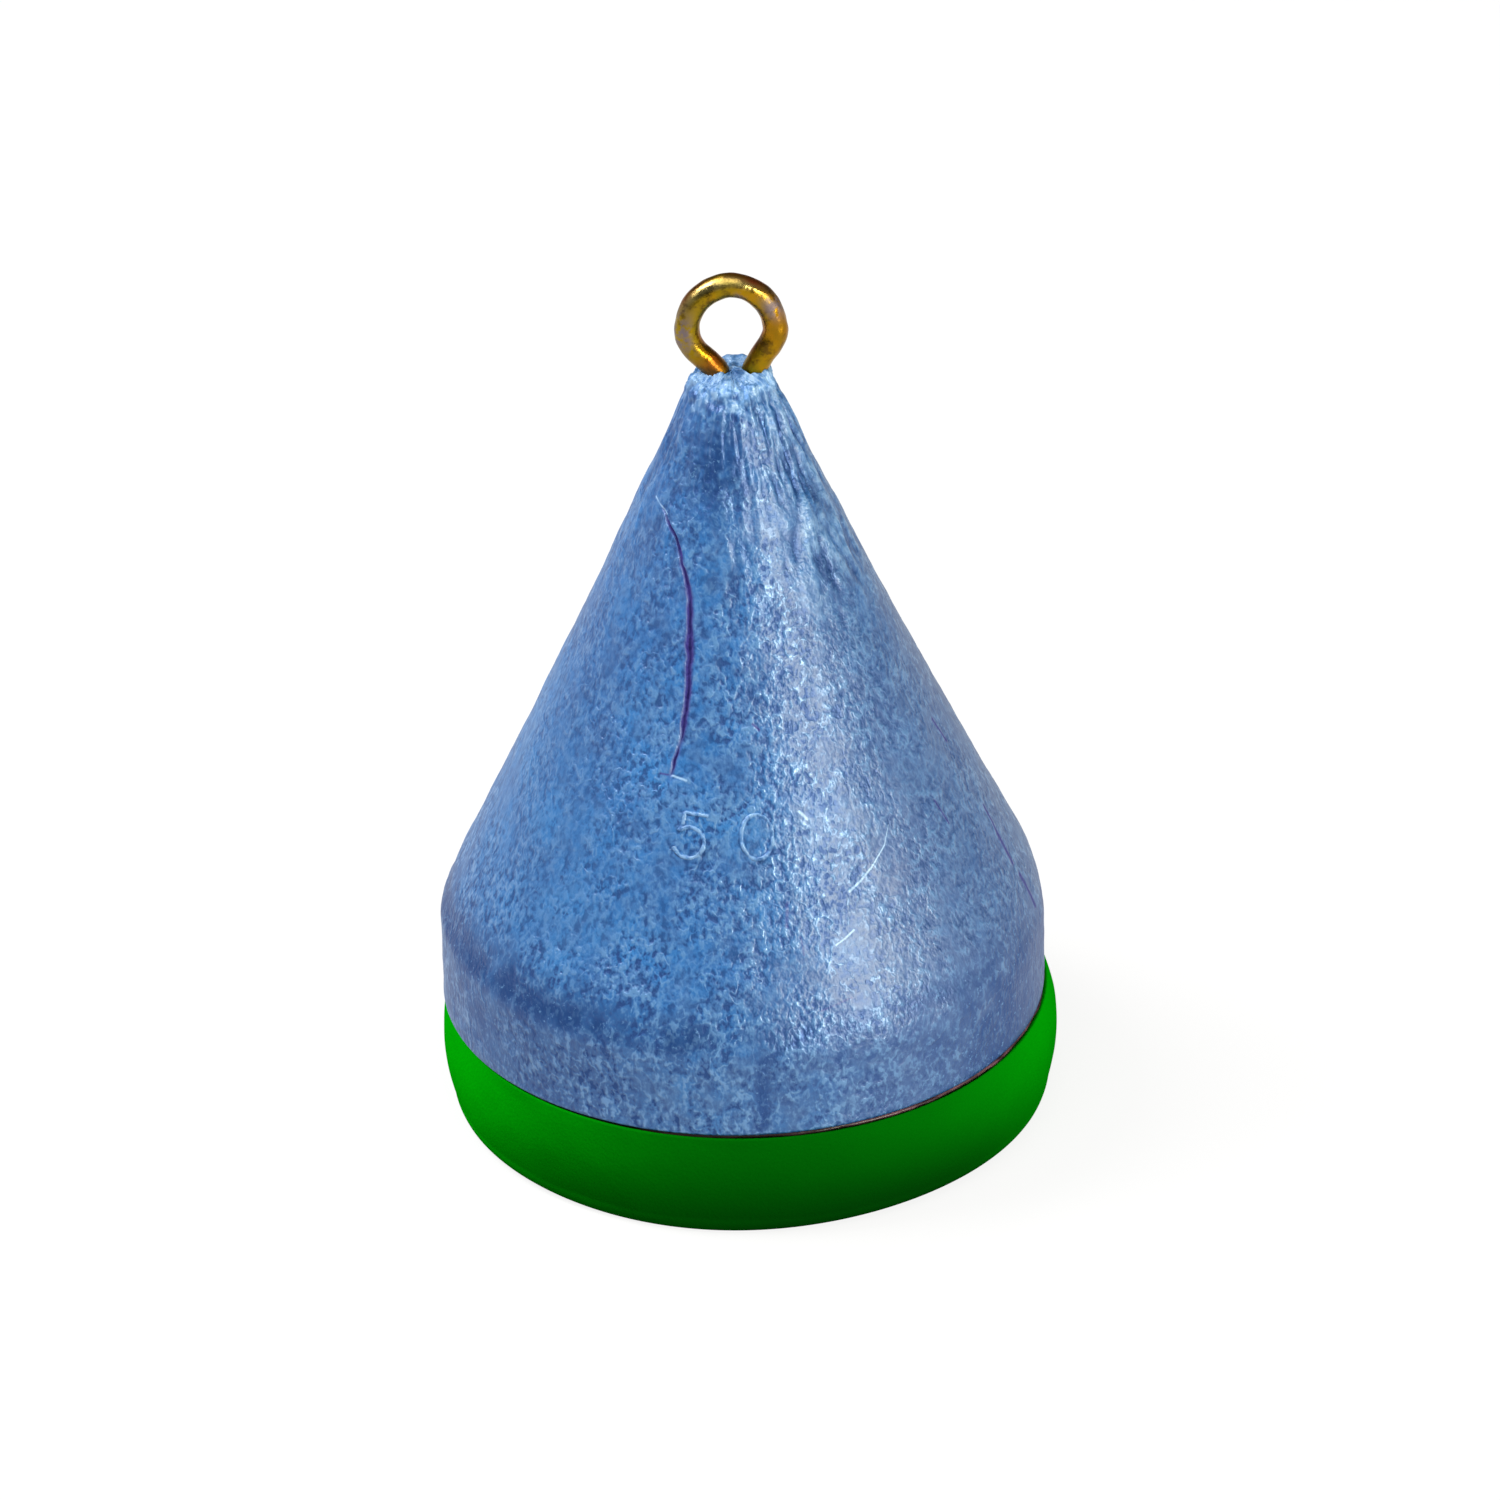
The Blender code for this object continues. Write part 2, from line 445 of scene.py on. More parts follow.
@dataclass(frozen=True)
class Tip:
    """The cone's cut tip: lumps round its rim, collars of lead round the wire, and a painted shadow below
    it.
    """

    top_z: float
    rim_drop: float = 0.35 * MM
    rim_width: float = 0.55 * MM
    edge_share: float = 0.25
    edge_width: float = 0.2 * MM
    lumps: Waves = ((0.045 * MM, 0.9 * MM, 15), (0.025 * MM, 0.42 * MM, 16))
    trim: float = 0.03 * MM
    collar_height: float = 0.16 * MM
    collar_radius: float = 0.5 * MM
    collar_width: float = 0.16 * MM
    collar_drop: float = 0.3 * MM
    cut_strength: float = 0.8
    cut_waves: Waves = ((0.3 * MM, 0.7 * MM, 20),)
    cut_edge: Pair = (0.2 * MM, 0.9 * MM)
    # These five fields place the painted shadow below the tip.
    shadow_drop: float = 2.6 * MM
    shadow_height: float = 1.8 * MM
    shadow_side: Sector = Sector(-14, 28)
    shadow_strength: float = 0.85
    shadow_waves: Waves = ((0.25, 0.4 * MM, 25),)

    def relief(self, at: Places) -> np.ndarray:
        """Lumps in a Gaussian belt at the rim, and a Gaussian ring round each leg.

        Args:
            at: Points of the casting.

        Returns:
            The relief at each point, outward positive.
        """
        drop = self.top_z - at.height
        rim = bell(drop - self.rim_drop, self.rim_width) + self.edge_share * bell(drop, self.edge_width)
        away = [np.hypot(at.points[..., 0] - x, at.points[..., 1]) for x in LEG_PLACES]
        collars = sum(bell(distance - self.collar_radius, self.collar_width) for distance in away)
        lumps = rim * (uneven(at.points, self.lumps) - self.trim)
        return lumps + self.collar_height * collars * bell(drop, self.collar_drop)

    def cut(self, at: Places) -> np.ndarray:
        """How bare the lead is where the tip was trimmed, down to a ragged edge."""
        ragged = self.top_z - at.height + uneven(at.points, self.cut_waves)
        return self.cut_strength * (1 - ease(ragged, *self.cut_edge))

    def painted_shadow(self, at: Places) -> np.ndarray:
        """Painted shadow on the left front below the tip: a Gaussian both ways, broken by noise.

        Args:
            at: Points of the casting.

        Returns:
            The strength of the painted shadow at each point.
        """
        belt = bell(self.top_z - at.height - self.shadow_drop, self.shadow_height)
        broken = self.shadow_strength + uneven(at.points, self.shadow_waves)
        return belt * self.shadow_side.at(at.bearing) * broken


@dataclass(frozen=True)
class Wrinkles:
    """Chill wrinkles down the upper cone, deepest at its right, with painted shade in their valleys and a
    painted highlight on their crests at the right.
    """

    round_draw: float = 3.2 * MM
    down_draw: float = 0.28
    waves: Waves = ((1.0, 0.75 * MM, 21), (0.7, 0.38 * MM, 22))
    stretches: tuple[tuple[Sector, Pair], ...] = (
        (Sector(-72, 32, 0.45), (22 * MM, 27 * MM)),
        (Sector(58, 30), (19 * MM, 25 * MM)),
        (Sector(0, 100, 0.35), (17 * MM, 27 * MM)),
    )
    height: float = 0.06 * MM
    # Painted shade in the valleys, and a painted highlight on the crests at the right.
    valley_shade: float = 0.7
    crest_highlight: float = 0.5
    crest_highlight_side: Pair = (0.3, 0.7)

    def folds(self, at: Places) -> np.ndarray:
        """Wrinkles of about unit height: noise read on bearing and height, drawn out down the slope.

        Args:
            at: Points of the casting.

        Returns:
            The wrinkles at each point, fading out of the stretches where they lie.
        """
        drawn = np.stack([self.round_draw * at.bearing, 0 * at.bearing, self.down_draw * at.height], -1)
        shares = [side.at(at.bearing) * ease(at.height, *rise) for side, rise in self.stretches]
        return np.max(shares, axis=0) * uneven(drawn, self.waves)

    def crest_highlights(self, folds: np.ndarray, bearing: np.ndarray) -> np.ndarray:
        """Painted highlight on the crests of the wrinkles at the right."""
        return self.crest_highlight * np.clip(folds, 0, 1) * ease(np.sin(bearing), *self.crest_highlight_side)


@dataclass
class LeadCasting:
    """The lead cone with its band, cut tip, cold crack and crease."""

    foot_z: float
    tip_z: float
    band_radius: float
    tip_radius: float = 1.38 * MM
    band_height: float = 3.4 * MM
    shoulder_blend: float = 0.24 * MM
    shoulder_skew: float = 0.14 * MM
    waist: float = 0.14 * MM
    waist_rise: Pair = (8.5 * MM, 19 * MM)
    waist_end: float = 3.5 * MM
    belly: float = 0.05 * MM
    belly_z: float = 9.2 * MM
    belly_reach: float = 1.2 * MM
    fullness: float = 0.08 * MM
    fullness_z: float = 9.6 * MM
    fullness_reach: float = 2 * MM
    lean: float = -0.09 * MM
    lean_end: float = 5 * MM
    tip_edge: float = 0.14 * MM
    tip_inset: float = 0.07 * MM
    tip_dip: float = 0.049 * MM
    tip_dip_power: int = 8
    foot_edge: float = 0.13 * MM
    side_start: float = 0.5 * MM
    swell_waves: Waves = ((0.022 * MM, 8 * MM, 11), (0.012 * MM, 3 * MM, 12))
    grain_waves: Waves = ((0.005 * MM, 1.2 * MM, 13), (0.0035 * MM, 0.6 * MM, 14))
    # Cap on the mark that joins the seam's smear with painted shade and a painted shadow.
    seam_and_shade_most: float = 0.92
    grainy_least: float = 0.54
    grainy_front: float = 0.4
    grainy_front_edge: float = 1.2
    grainy_low: float = 0.25
    grainy_low_side: Pair = (0.0, 0.5)
    grainy_low_end: Pair = (9 * MM, 14 * MM)
    columns: int = 400
    tip_rows: int = 16
    side_rows: int = 210
    foot_rows: int = 5
    base_rows: int = 6
    row_crowding: float = 1.2
    gather: float = 0.66
    crack: Crack = Crack()
    wrinkles: Wrinkles = Wrinkles()

    @property
    def shoulder_z(self) -> float:
        """Height where the cone's side would meet the band."""
        return self.foot_z + self.band_height

    @property
    def slope(self) -> float:
        """How fast the cone widens with depth."""
        return (self.band_radius - self.tip_radius) / (self.tip_z - self.shoulder_z)

    def radius(self, z: np.ndarray, bearing: np.ndarray) -> np.ndarray:
        """Smooth radius of the side: the lesser of cone and band, blended over a width that varies round.

        Args:
            z: Heights.
            bearing: Bearings of the same points.

        Returns:
            The radius at each point. The cone is a little hollow above its middle and full below it.
        """
        cone = self.tip_radius + (self.tip_z - z) * self.slope
        neck = 1 - ease(z, self.tip_z - self.waist_end, self.tip_z)
        cone = cone - self.waist * ease(z, *self.waist_rise) * neck
        cone = cone + self.belly * bell(z - self.belly_z, self.belly_reach)
        right = np.maximum(np.sin(bearing), 0)
        cone = cone + self.fullness * bell(z - self.fullness_z, self.fullness_reach) * right
        width = self.shoulder_blend + self.shoulder_skew * np.sin(bearing)
        share = np.clip(0.5 + 0.5 * (self.band_radius - cone) / width, 0.0, 1.0)
        return self.band_radius * (1 - share) + cone * share - width * share * (1 - share)

    def aside(self, z: np.ndarray) -> np.ndarray:
        """How far the casting stands aside: fully at the band, fading out above its shoulder."""
        return self.lean * (1 - ease(z, self.shoulder_z, self.shoulder_z + self.lean_end))

    def surface(self, z: np.ndarray, bearing: np.ndarray, proud: np.ndarray | float = 0.0) -> np.ndarray:
        """Points of the smooth side, moved out along the cone's normal.

        Args:
            z: Heights.
            bearing: Bearings of the same points.
            proud: How far out.

        Returns:
            Points with x, y and z on the last axis.
        """
        tilt = math.atan(self.slope)
        radius = self.radius(z, bearing) + proud * math.cos(tilt)
        return turned(radius, bearing, z + proud * math.sin(tilt), self.aside(z))

    def spot(self, height: float, bearing: float) -> Vector:
        """One place on the uneven side, from a height in millimetres and a bearing in degrees."""
        z, turn = np.array(height * MM), np.array(math.radians(bearing))
        return Vector(self.surface(z, turn, uneven(self.surface(z, turn), self.swell_waves)))

    def rings(self) -> Places:
        """Smooth rings from the middle of the tip over the side to the middle of the foot.

        The columns gather at the crack: each bearing is the crack's plus t - gather sin(t) for even t.

        Returns:
            The points as (ring, column, xyz), with the height and bearing of each.
        """
        even = bearings(self.columns)
        top, bottom = self.tip_z - self.tip_edge, self.foot_z + self.foot_edge
        side = top + (bottom - top) * np.linspace(0, 1, self.side_rows) ** self.row_crowding
        quarter = np.linspace(0, math.pi / 2, self.foot_rows + 1)[1:]
        tip_share = np.linspace(HUB, 1.0, self.tip_rows)
        base_share = np.linspace(1.0, HUB, self.base_rows + 1)[1:]
        level = np.full(self.foot_rows + self.base_rows, self.foot_z)
        z = np.concatenate([np.full(self.tip_rows, self.tip_z), side, level])
        inside = np.clip(z, bottom, top)
        bearing = self.crack.line(inside)[:, None] + even - self.gather * np.sin(even)
        height = np.repeat(z[:, None], self.columns, axis=1)
        radius = self.radius(inside[:, None], bearing)
        tip = slice(0, self.tip_rows)
        radius[tip] = (radius[self.tip_rows] - self.tip_inset) * tip_share[:, None]
        height[tip] -= self.tip_dip * np.power(tip_share, self.tip_dip_power)[:, None]
        foot = slice(self.tip_rows + self.side_rows, -self.base_rows)
        radius[foot] -= self.foot_edge * (1 - np.cos(quarter))[:, None]
        height[foot] += self.foot_edge * (1 - np.sin(quarter))[:, None]
        radius[-self.base_rows:] = radius[-self.base_rows - 1] * base_share[:, None]
        return Places(turned(radius, bearing, height, self.aside(height)), height, bearing)

    def grainy(self, at: Places) -> np.ndarray:
        """How plain the crystals are: most at the front, by a cosine's fourth power, and at the low left.

        Args:
            at: Points of the casting.

        Returns:
            The strength of the crystals at each point, 1 at most.
        """
        edge = self.grainy_front_edge
        front = self.grainy_front * np.cos(np.clip(at.bearing, -edge, edge)) ** 4
        left = self.grainy_low * ease(-np.sin(at.bearing), *self.grainy_low_side)
        low = left * (1 - ease(at.height, *self.grainy_low_end))
        return np.minimum(self.grainy_least + front + low, 1)

    def relief(self, at: Places) -> tuple[np.ndarray, dict[str, np.ndarray]]:
        """Unevenness of the casting, outward positive, with the marks that colour it.

        Args:
            at: Smooth points of the rings.

        Returns:
            The distance to move each point along its normal, and named marks.
        """
        tip, crease = Tip(self.tip_z), Crease(self.shoulder_z)
        on_side = ease(at.height, self.foot_z, self.foot_z + self.side_start)
        crack, stain = self.crack.relief(at)
        seam = crease.seam(at) * on_side
        folds = self.wrinkles.folds(at)
        hollow = bell(at.height - crease.line(at.bearing), crease.width) * crease.worn(at.bearing)
        offset = uneven(at.points, self.swell_waves + self.grain_waves) * on_side + tip.relief(at)
        offset = offset + self.wrinkles.height * folds + crack
        offset = offset - crease.depth * hollow - crease.seam_depth * seam
        # Painted shade in the wrinkles' valleys.
        streaks = self.wrinkles.valley_shade * np.maximum(-folds, 0)
        # One mark for the seam's dark smear, painted shade along the crease and band, a painted shadow below
        # the tip and painted shade in the wrinkle valleys.
        seam_and_painted_shade = np.max([crease.painted_shade(at), tip.painted_shadow(at), streaks, seam], axis=0)
        marks = {
            "crack": stain,
            # The cut mark holds the bare cut tip and a painted highlight on the wrinkle crests at the right.
            "cut": np.maximum(tip.cut(at), self.wrinkles.crest_highlights(folds, at.bearing)),
            "grainy": self.grainy(at),
            "seam_and_painted_shade": np.clip(seam_and_painted_shade, 0, self.seam_and_shade_most),
        }
        return np.where(at.height > self.foot_z + LEVEL, offset, 0.0), marks

    def build(self, material: bpy.types.Material) -> bpy.types.Object:
        """Make the casting and dress it.

        Args:
            material: The lead finish.

        Returns:
            The casting.
        """
        smooth = self.rings()
        offset, marks = self.relief(smooth)
        rings = smooth.points + grid_normals(smooth.points) * offset[..., None]
        piece = skin("lead_casting", rings, marks=marks)
        settle(piece, Slot.LEAD, material, "lead_body")
        return piece


@dataclass
class CastNumber:
    """The raised figures on the cone, as thin rounded ridges."""

    casting: LeadCasting
    middle_z: float = 14.73 * MM
    width: float = 1.12 * MM
    tall: float = 1.60 * MM
    stroke: float = 0.17 * MM
    rise: float = 0.08 * MM
    sunk: float = 0.012 * MM
    fade: Waves = ((0.022 * MM, 0.7 * MM, 31),)
    bare: float = 0.5
    steps: int = 160
    sides: int = 12
    flag: tuple[Pair, ...] = ((0.53, 0.47), (-0.235, 0.5), (-0.28, 0.2))
    bowl_turn: Pair = (136.0, -160.0)
    bowl_steps: int = 60
    bowl_middle: Pair = (-0.04, -0.157)
    bowl_half: Pair = (0.5, 0.343)

    def strokes(self, figure: Figure) -> tuple[np.ndarray, bool]:
        """Middle line of a figure in its own box, from -0.5 to 0.5 each way.

        The nought is an ellipse. The five is straight strokes and a bowl, which is part of an ellipse.

        Args:
            figure: Which figure.

        Returns:
            Points as (n, 2), and whether the line closes on itself.
        """
        if figure is Figure.NOUGHT:
            return 0.5 * round_section(self.steps), True
        turn = np.radians(np.linspace(*self.bowl_turn, self.bowl_steps))
        bowl = np.array(self.bowl_middle) + np.stack([np.cos(turn), np.sin(turn)], -1) * self.bowl_half
        return evenly(np.concatenate([self.flag, bowl]), self.steps), False

    def build(self, figure: Figure, material: bpy.types.Material) -> bpy.types.Object:
        """Sweep a flattened round section along one figure's line on the cone.

        Args:
            figure: Which figure.
            material: The lead finish.

        Returns:
            The figure.
        """
        line, closed = self.strokes(figure)
        z = self.middle_z + line[:, 1] * self.tall * math.cos(math.atan(self.casting.slope))
        radius = self.casting.radius(z, np.zeros_like(z))
        bearing = math.radians(figure.value) + line[:, 0] * self.width / radius
        base = self.casting.surface(z, bearing)
        path = self.casting.surface(z, bearing, uneven(base, self.fade) - self.sunk)
        outward = self.casting.surface(z, bearing, 1.0) - base
        loop = np.roll(path, -1, axis=0) - np.roll(path, 1, axis=0)
        ahead = loop if closed else np.gradient(path, axis=0)
        circle = round_section(self.sides)
        section = circle * np.array([self.stroke / 2, self.rise])
        rings = sweep(path, unit(np.cross(ahead, outward)), outward, section)
        crest = np.broadcast_to(np.maximum(circle[:, 1], 0), rings.shape[:2])
        none, full = np.zeros(crest.shape), np.ones(crest.shape)
        marks = {"crack": none, "cut": self.bare * crest, "grainy": full, "seam_and_painted_shade": none}
        piece = skin("figure_" + figure.name.lower(), rings, closed, marks)
        settle(piece, Slot.LEAD, material)
        return piece


@dataclass
class WireEye:
    """The brass wire: an oval eye, two legs that close in and run down into the lead, and their feet."""

    tip_z: float
    top_z: float
    foot_x: float
    foot_z: float
    radius: float
    middle_x: float = 0.05 * MM
    half_width: float = 1.57 * MM
    widest_rise: float = 1.70 * MM
    lower_height: float = 1.42 * MM
    close_right: float = 44.0
    close_left: float = 55.0
    kink: Sector = Sector(-5, math.degrees(0.17), 0.03)
    leg_x: float = 0.70 * MM
    bend_depth: float = 1.5 * MM
    roundings: int = 24
    sides: int = 40
    crown_steps: int = 170
    step: float = 0.05 * MM
    dents: Waves = ((0.010 * MM, 1.6 * MM, 41), (0.004 * MM, 0.5 * MM, 42))
    drawn_in: float = 0.012 * MM
    stain: float = 0.75
    stain_waves: Waves = ((0.25, 1.3 * MM, 43),)
    crown_rise: Pair = (0.6 * MM, 1.6 * MM)
    crown_brown: float = 0.9
    crown_outer: Pair = (0.70, 0.95)
    inner_brown: float = 0.75
    inner_side: Pair = (0.6, 1.0)
    browned: tuple[Sector, ...] = (Sector(5, 34, 0.28), Sector(-118, 22, 0.72))
    greyed: tuple[tuple[Sector, Pair], ...] = (
        (Sector(34, 14), (-0.2, 0.5)),
        (Sector(178, 22), (-0.3, 0.4)),
        (Sector(-178, 22), (-0.3, 0.4)),
        (Sector(78, 7, 0.7), (0.4, -0.3)),
    )
    # Painted highlight: a pale patch on the crown where it faces front and up, towards the light.
    polish_and_painted_highlight: Sector = Sector(112, 42)
    highlight_front: Pair = (0.2, 0.5)
    highlight_upper: Pair = (0.2, 0.55)

    def middle_line(self) -> np.ndarray:
        """Middle line of the wire: straight legs and feet, an oval crown, and bends rounded by averaging.

        Returns:
            Points as (n, 3), from the right foot over the crown to the left foot.
        """
        widest_z = self.tip_z + self.widest_rise
        upward = self.top_z - self.radius - widest_z
        turn = np.radians(np.linspace(-self.close_right, 180 + self.close_left, self.crown_steps))
        across = self.half_width * (1 + self.kink.at(turn))
        tall = np.where(np.sin(turn) > 0, upward, self.lower_height)
        crown = np.stack([self.middle_x + across * np.cos(turn), widest_z + tall * np.sin(turn)], -1)
        foot_z, bend_z = self.foot_z + self.radius, self.tip_z - self.bend_depth
        left_x, right_x = LEG_PLACES
        leg = np.array([(self.foot_x, foot_z), (self.leg_x, foot_z), (self.leg_x, bend_z)])
        right = [*leg, (right_x, self.tip_z)]
        left = [(left_x, self.tip_z), *(leg * (-1, 1))[::-1]]
        corners = np.concatenate([right, crown, left])
        line = evenly(corners, int(run_lengths(corners)[-1] / self.step))
        for _ in range(self.roundings):
            line[1:-1] = 0.25 * line[:-2] + 0.5 * line[1:-1] + 0.25 * line[2:]
        return np.stack([line[:, 0], np.zeros(len(line)), line[:, 1]], -1)

    def stains_and_painted_light(self, rings: np.ndarray, away: np.ndarray) -> dict[str, np.ndarray]:
        """Where the wire is brown, partly with painted shade, where it is worn grey, and where a painted
        highlight lies on the crown.

        Args:
            rings: Points of the wire.
            away: Direction from the middle line to each point, of unit length.

        Returns:
            The marks for brown, for grey and for the painted highlight, for each point.
        """
        middle = np.array([self.middle_x, 0.0, self.tip_z + self.widest_rise])
        spoke = unit(rings - middle)
        outer = (away * spoke).sum(-1)
        turn = np.arctan2(spoke[..., 2], spoke[..., 0])
        patchy = self.stain + uneven(rings, self.stain_waves)
        # Brown on the crown's outer rim and the wire's inner side: partly tarnish, partly painted shade
        # where its edges fall dark.
        crown = self.crown_brown * ease(rings[..., 2] - middle[2], *self.crown_rise)
        inner = self.inner_brown * ease(-outer, *self.inner_side)
        brown = np.maximum(crown * ease(outer, *self.crown_outer), inner) * patchy
        brown = np.maximum(brown, sum(sector.at(turn) for sector in self.browned))
        grey = sum(sector.at(turn) * ease(outer, *side) for sector, side in self.greyed)
        # Painted highlight where the wire faces front and up.
        facing = ease(-away[..., 1], *self.highlight_front) * ease(away[..., 2], *self.highlight_upper)
        marks = {"brown": brown, "grey": grey, "polish_and_painted_highlight": self.polish_and_painted_highlight.at(turn) * facing * patchy}
        return {name: np.clip(mark, 0, 1) for name, mark in marks.items()}

    def build(self, material: bpy.types.Material) -> bpy.types.Object:
        """Sweep a round section along the middle line, with slight drawing and bending marks.

        Args:
            material: The brass finish.

        Returns:
            The wire.
        """
        path = self.middle_line()
        level = np.broadcast_to([0.0, 1.0, 0.0], path.shape)
        outward = np.cross(unit(np.gradient(path, axis=0)), level)
        rings = sweep(path, level, outward, round_section(self.sides) * self.radius)
        away = (rings - path[:, None]) / self.radius
        rings = rings + away * (uneven(rings, self.dents) - self.drawn_in)[..., None]
        piece = skin("wire_eye_bent", rings, marks=self.stains_and_painted_light(rings, away))
        settle(piece, Slot.BRASS, material, "wire_eye")
        return piece


@dataclass
class GlueFilm:
    """The adhesive between lead and pad, squeezed out to a thin edge along the seam."""

    low_z: float
    high_z: float
    edge_radius: float = 10.88 * MM
    waver: Waves = ((0.02 * MM, 3 * MM, 61), (0.015 * MM, 1 * MM, 62))
    columns: int = 300
    rows: int = 8
    edge_rows: int = 8

    def build(self, material: bpy.types.Material) -> bpy.types.Object:
        """Turn a flat film with a half-round edge whose reach wavers round the axis.

        Args:
            material: The glue finish.

        Returns:
            The film.
        """
        bearing = bearings(self.columns)
        half = (self.high_z - self.low_z) / 2
        inner = self.edge_radius - half
        share = np.linspace(HUB, 1.0, self.rows)
        turn = np.linspace(math.pi / 2, -math.pi / 2, self.edge_rows)[1:-1]
        radius = np.concatenate([share * inner, inner + half * np.cos(turn), share[::-1] * inner])
        edge_z = self.low_z + half * (1 + np.sin(turn))
        z = np.concatenate([np.full(self.rows, self.high_z), edge_z, np.full(self.rows, self.low_z)])
        waver = uneven(turned(self.edge_radius, bearing, 0.0), self.waver)
        reach = radius[:, None] * (1 + waver / self.edge_radius)
        piece = skin("glue_film_edge", turned(reach, bearing, z[:, None]))
        settle(piece, Slot.GLUE, material, "glue_film")
        return piece


@dataclass
class BasePad:
    """The foam pad: a barrel-sided puck, a little off centre, with a lip round the adhesive on its top."""

    seat_z: float
    lip: float = 0.17 * MM
    lip_inner: float = 0.98
    lip_crest: float = 0.995
    widest: float = 11.25 * MM
    widest_z: float = 2.5 * MM
    top_draw: float = 0.14 * MM
    right_draw: float = 0.20 * MM
    low_draw: float = 0.29 * MM
    edge: float = 0.65 * MM
    edge_draw: float = 0.36 * MM
    slack: tuple[Sector, ...] = (Sector(37, 30, 1.4), Sector(-50, 25, 0.5))
    shift: float = 0.115 * MM
    softness: Waves = ((0.015 * MM, 5 * MM, 51), (0.005 * MM, 1.5 * MM, 52))
    soft_from: Pair = (0.1 * MM, 0.8 * MM)
    soft_end: float = 0.5 * MM
    # Painted light on the sides, weaker at the right.
    side_light_right: float = 0.66
    # Painted shade, most at the front right.
    front_right_shade: Sector = Sector(28, 32)
    columns: int = 320
    top_rows: int = 10
    side_rows: int = 44
    edge_rows: int = 16
    base_rows: int = 10

    @property
    def top_z(self) -> float:
        """Height of the lip."""
        return self.seat_z + self.lip

    def outline(self, bearing: np.ndarray) -> tuple[np.ndarray, np.ndarray]:
        """Outline at each bearing: seat and lip, side bowed as a parabola, elliptic lower edge, flat foot.

        Args:
            bearing: Bearings round the axis.

        Returns:
            Radii as (row, bearing), and heights as (row, 1).
        """
        side_z = np.linspace(self.top_z, self.edge, self.side_rows)
        above = np.clip((side_z - self.widest_z) / (self.top_z - self.widest_z), 0, 1)
        below = np.clip((self.widest_z - side_z) / (self.widest_z - self.edge), 0, 1)
        top_draw = self.top_draw + self.right_draw * np.maximum(np.sin(bearing), 0) ** 2
        side_r = self.widest - np.outer(above**2, top_draw) - self.low_draw * (below**2)[:, None]
        quarter = np.linspace(0, math.pi / 2, self.edge_rows + 1)[1:]
        edge_draw = self.edge_draw * (1 + sum(sector.at(bearing) for sector in self.slack))
        edge_r = side_r[-1] - edge_draw * (1 - np.cos(quarter))[:, None]
        edge_z = self.edge * (1 - np.sin(quarter))
        seat_share = np.linspace(HUB, self.lip_inner, self.top_rows - 1)
        top_r = np.outer(np.append(seat_share, self.lip_crest), side_r[0])
        top_z = np.append(np.full(self.top_rows - 1, self.seat_z), self.top_z)
        base_r = np.linspace(1.0, HUB, self.base_rows + 1)[1:, None] * edge_r[-1]
        radius = np.concatenate([top_r, side_r, edge_r, base_r])
        return radius, np.concatenate([top_z, side_z, edge_z, np.zeros(self.base_rows)])[:, None]

    def build(self, material: bpy.types.Material) -> bpy.types.Object:
        """Turn the outline, make its side softly uneven, and mark where painted light brightens its colour
        and where painted shade darkens it.

        The painted light grows with the sine of the bearing, squared at the left and to the fourth power at
        the right.

        Args:
            material: The foam finish.

        Returns:
            The pad.
        """
        bearing = bearings(self.columns)
        radius, z = self.outline(bearing)
        points = turned(radius, bearing, z, self.shift)
        loose = ease(z, *self.soft_from) * (1 - ease(z, self.top_z - self.soft_end, self.top_z))
        offset = uneven(points, self.softness) * loose
        # Painted light: the sides lighter than the front and back.
        painted_side_light = np.where(bearing > 0, self.side_light_right * np.sin(bearing) ** 4, np.sin(bearing) ** 2)
        marks = {"painted_side_light": painted_side_light, "front_right_shade": self.front_right_shade.at(bearing)}
        marks = {name: np.broadcast_to(mark, radius.shape) for name, mark in marks.items()}
        piece = skin("foam_pad", points + grid_normals(points) * offset[..., None], marks=marks)
        settle(piece, Slot.PAD, material, "base_pad")
        return piece


# Shader building


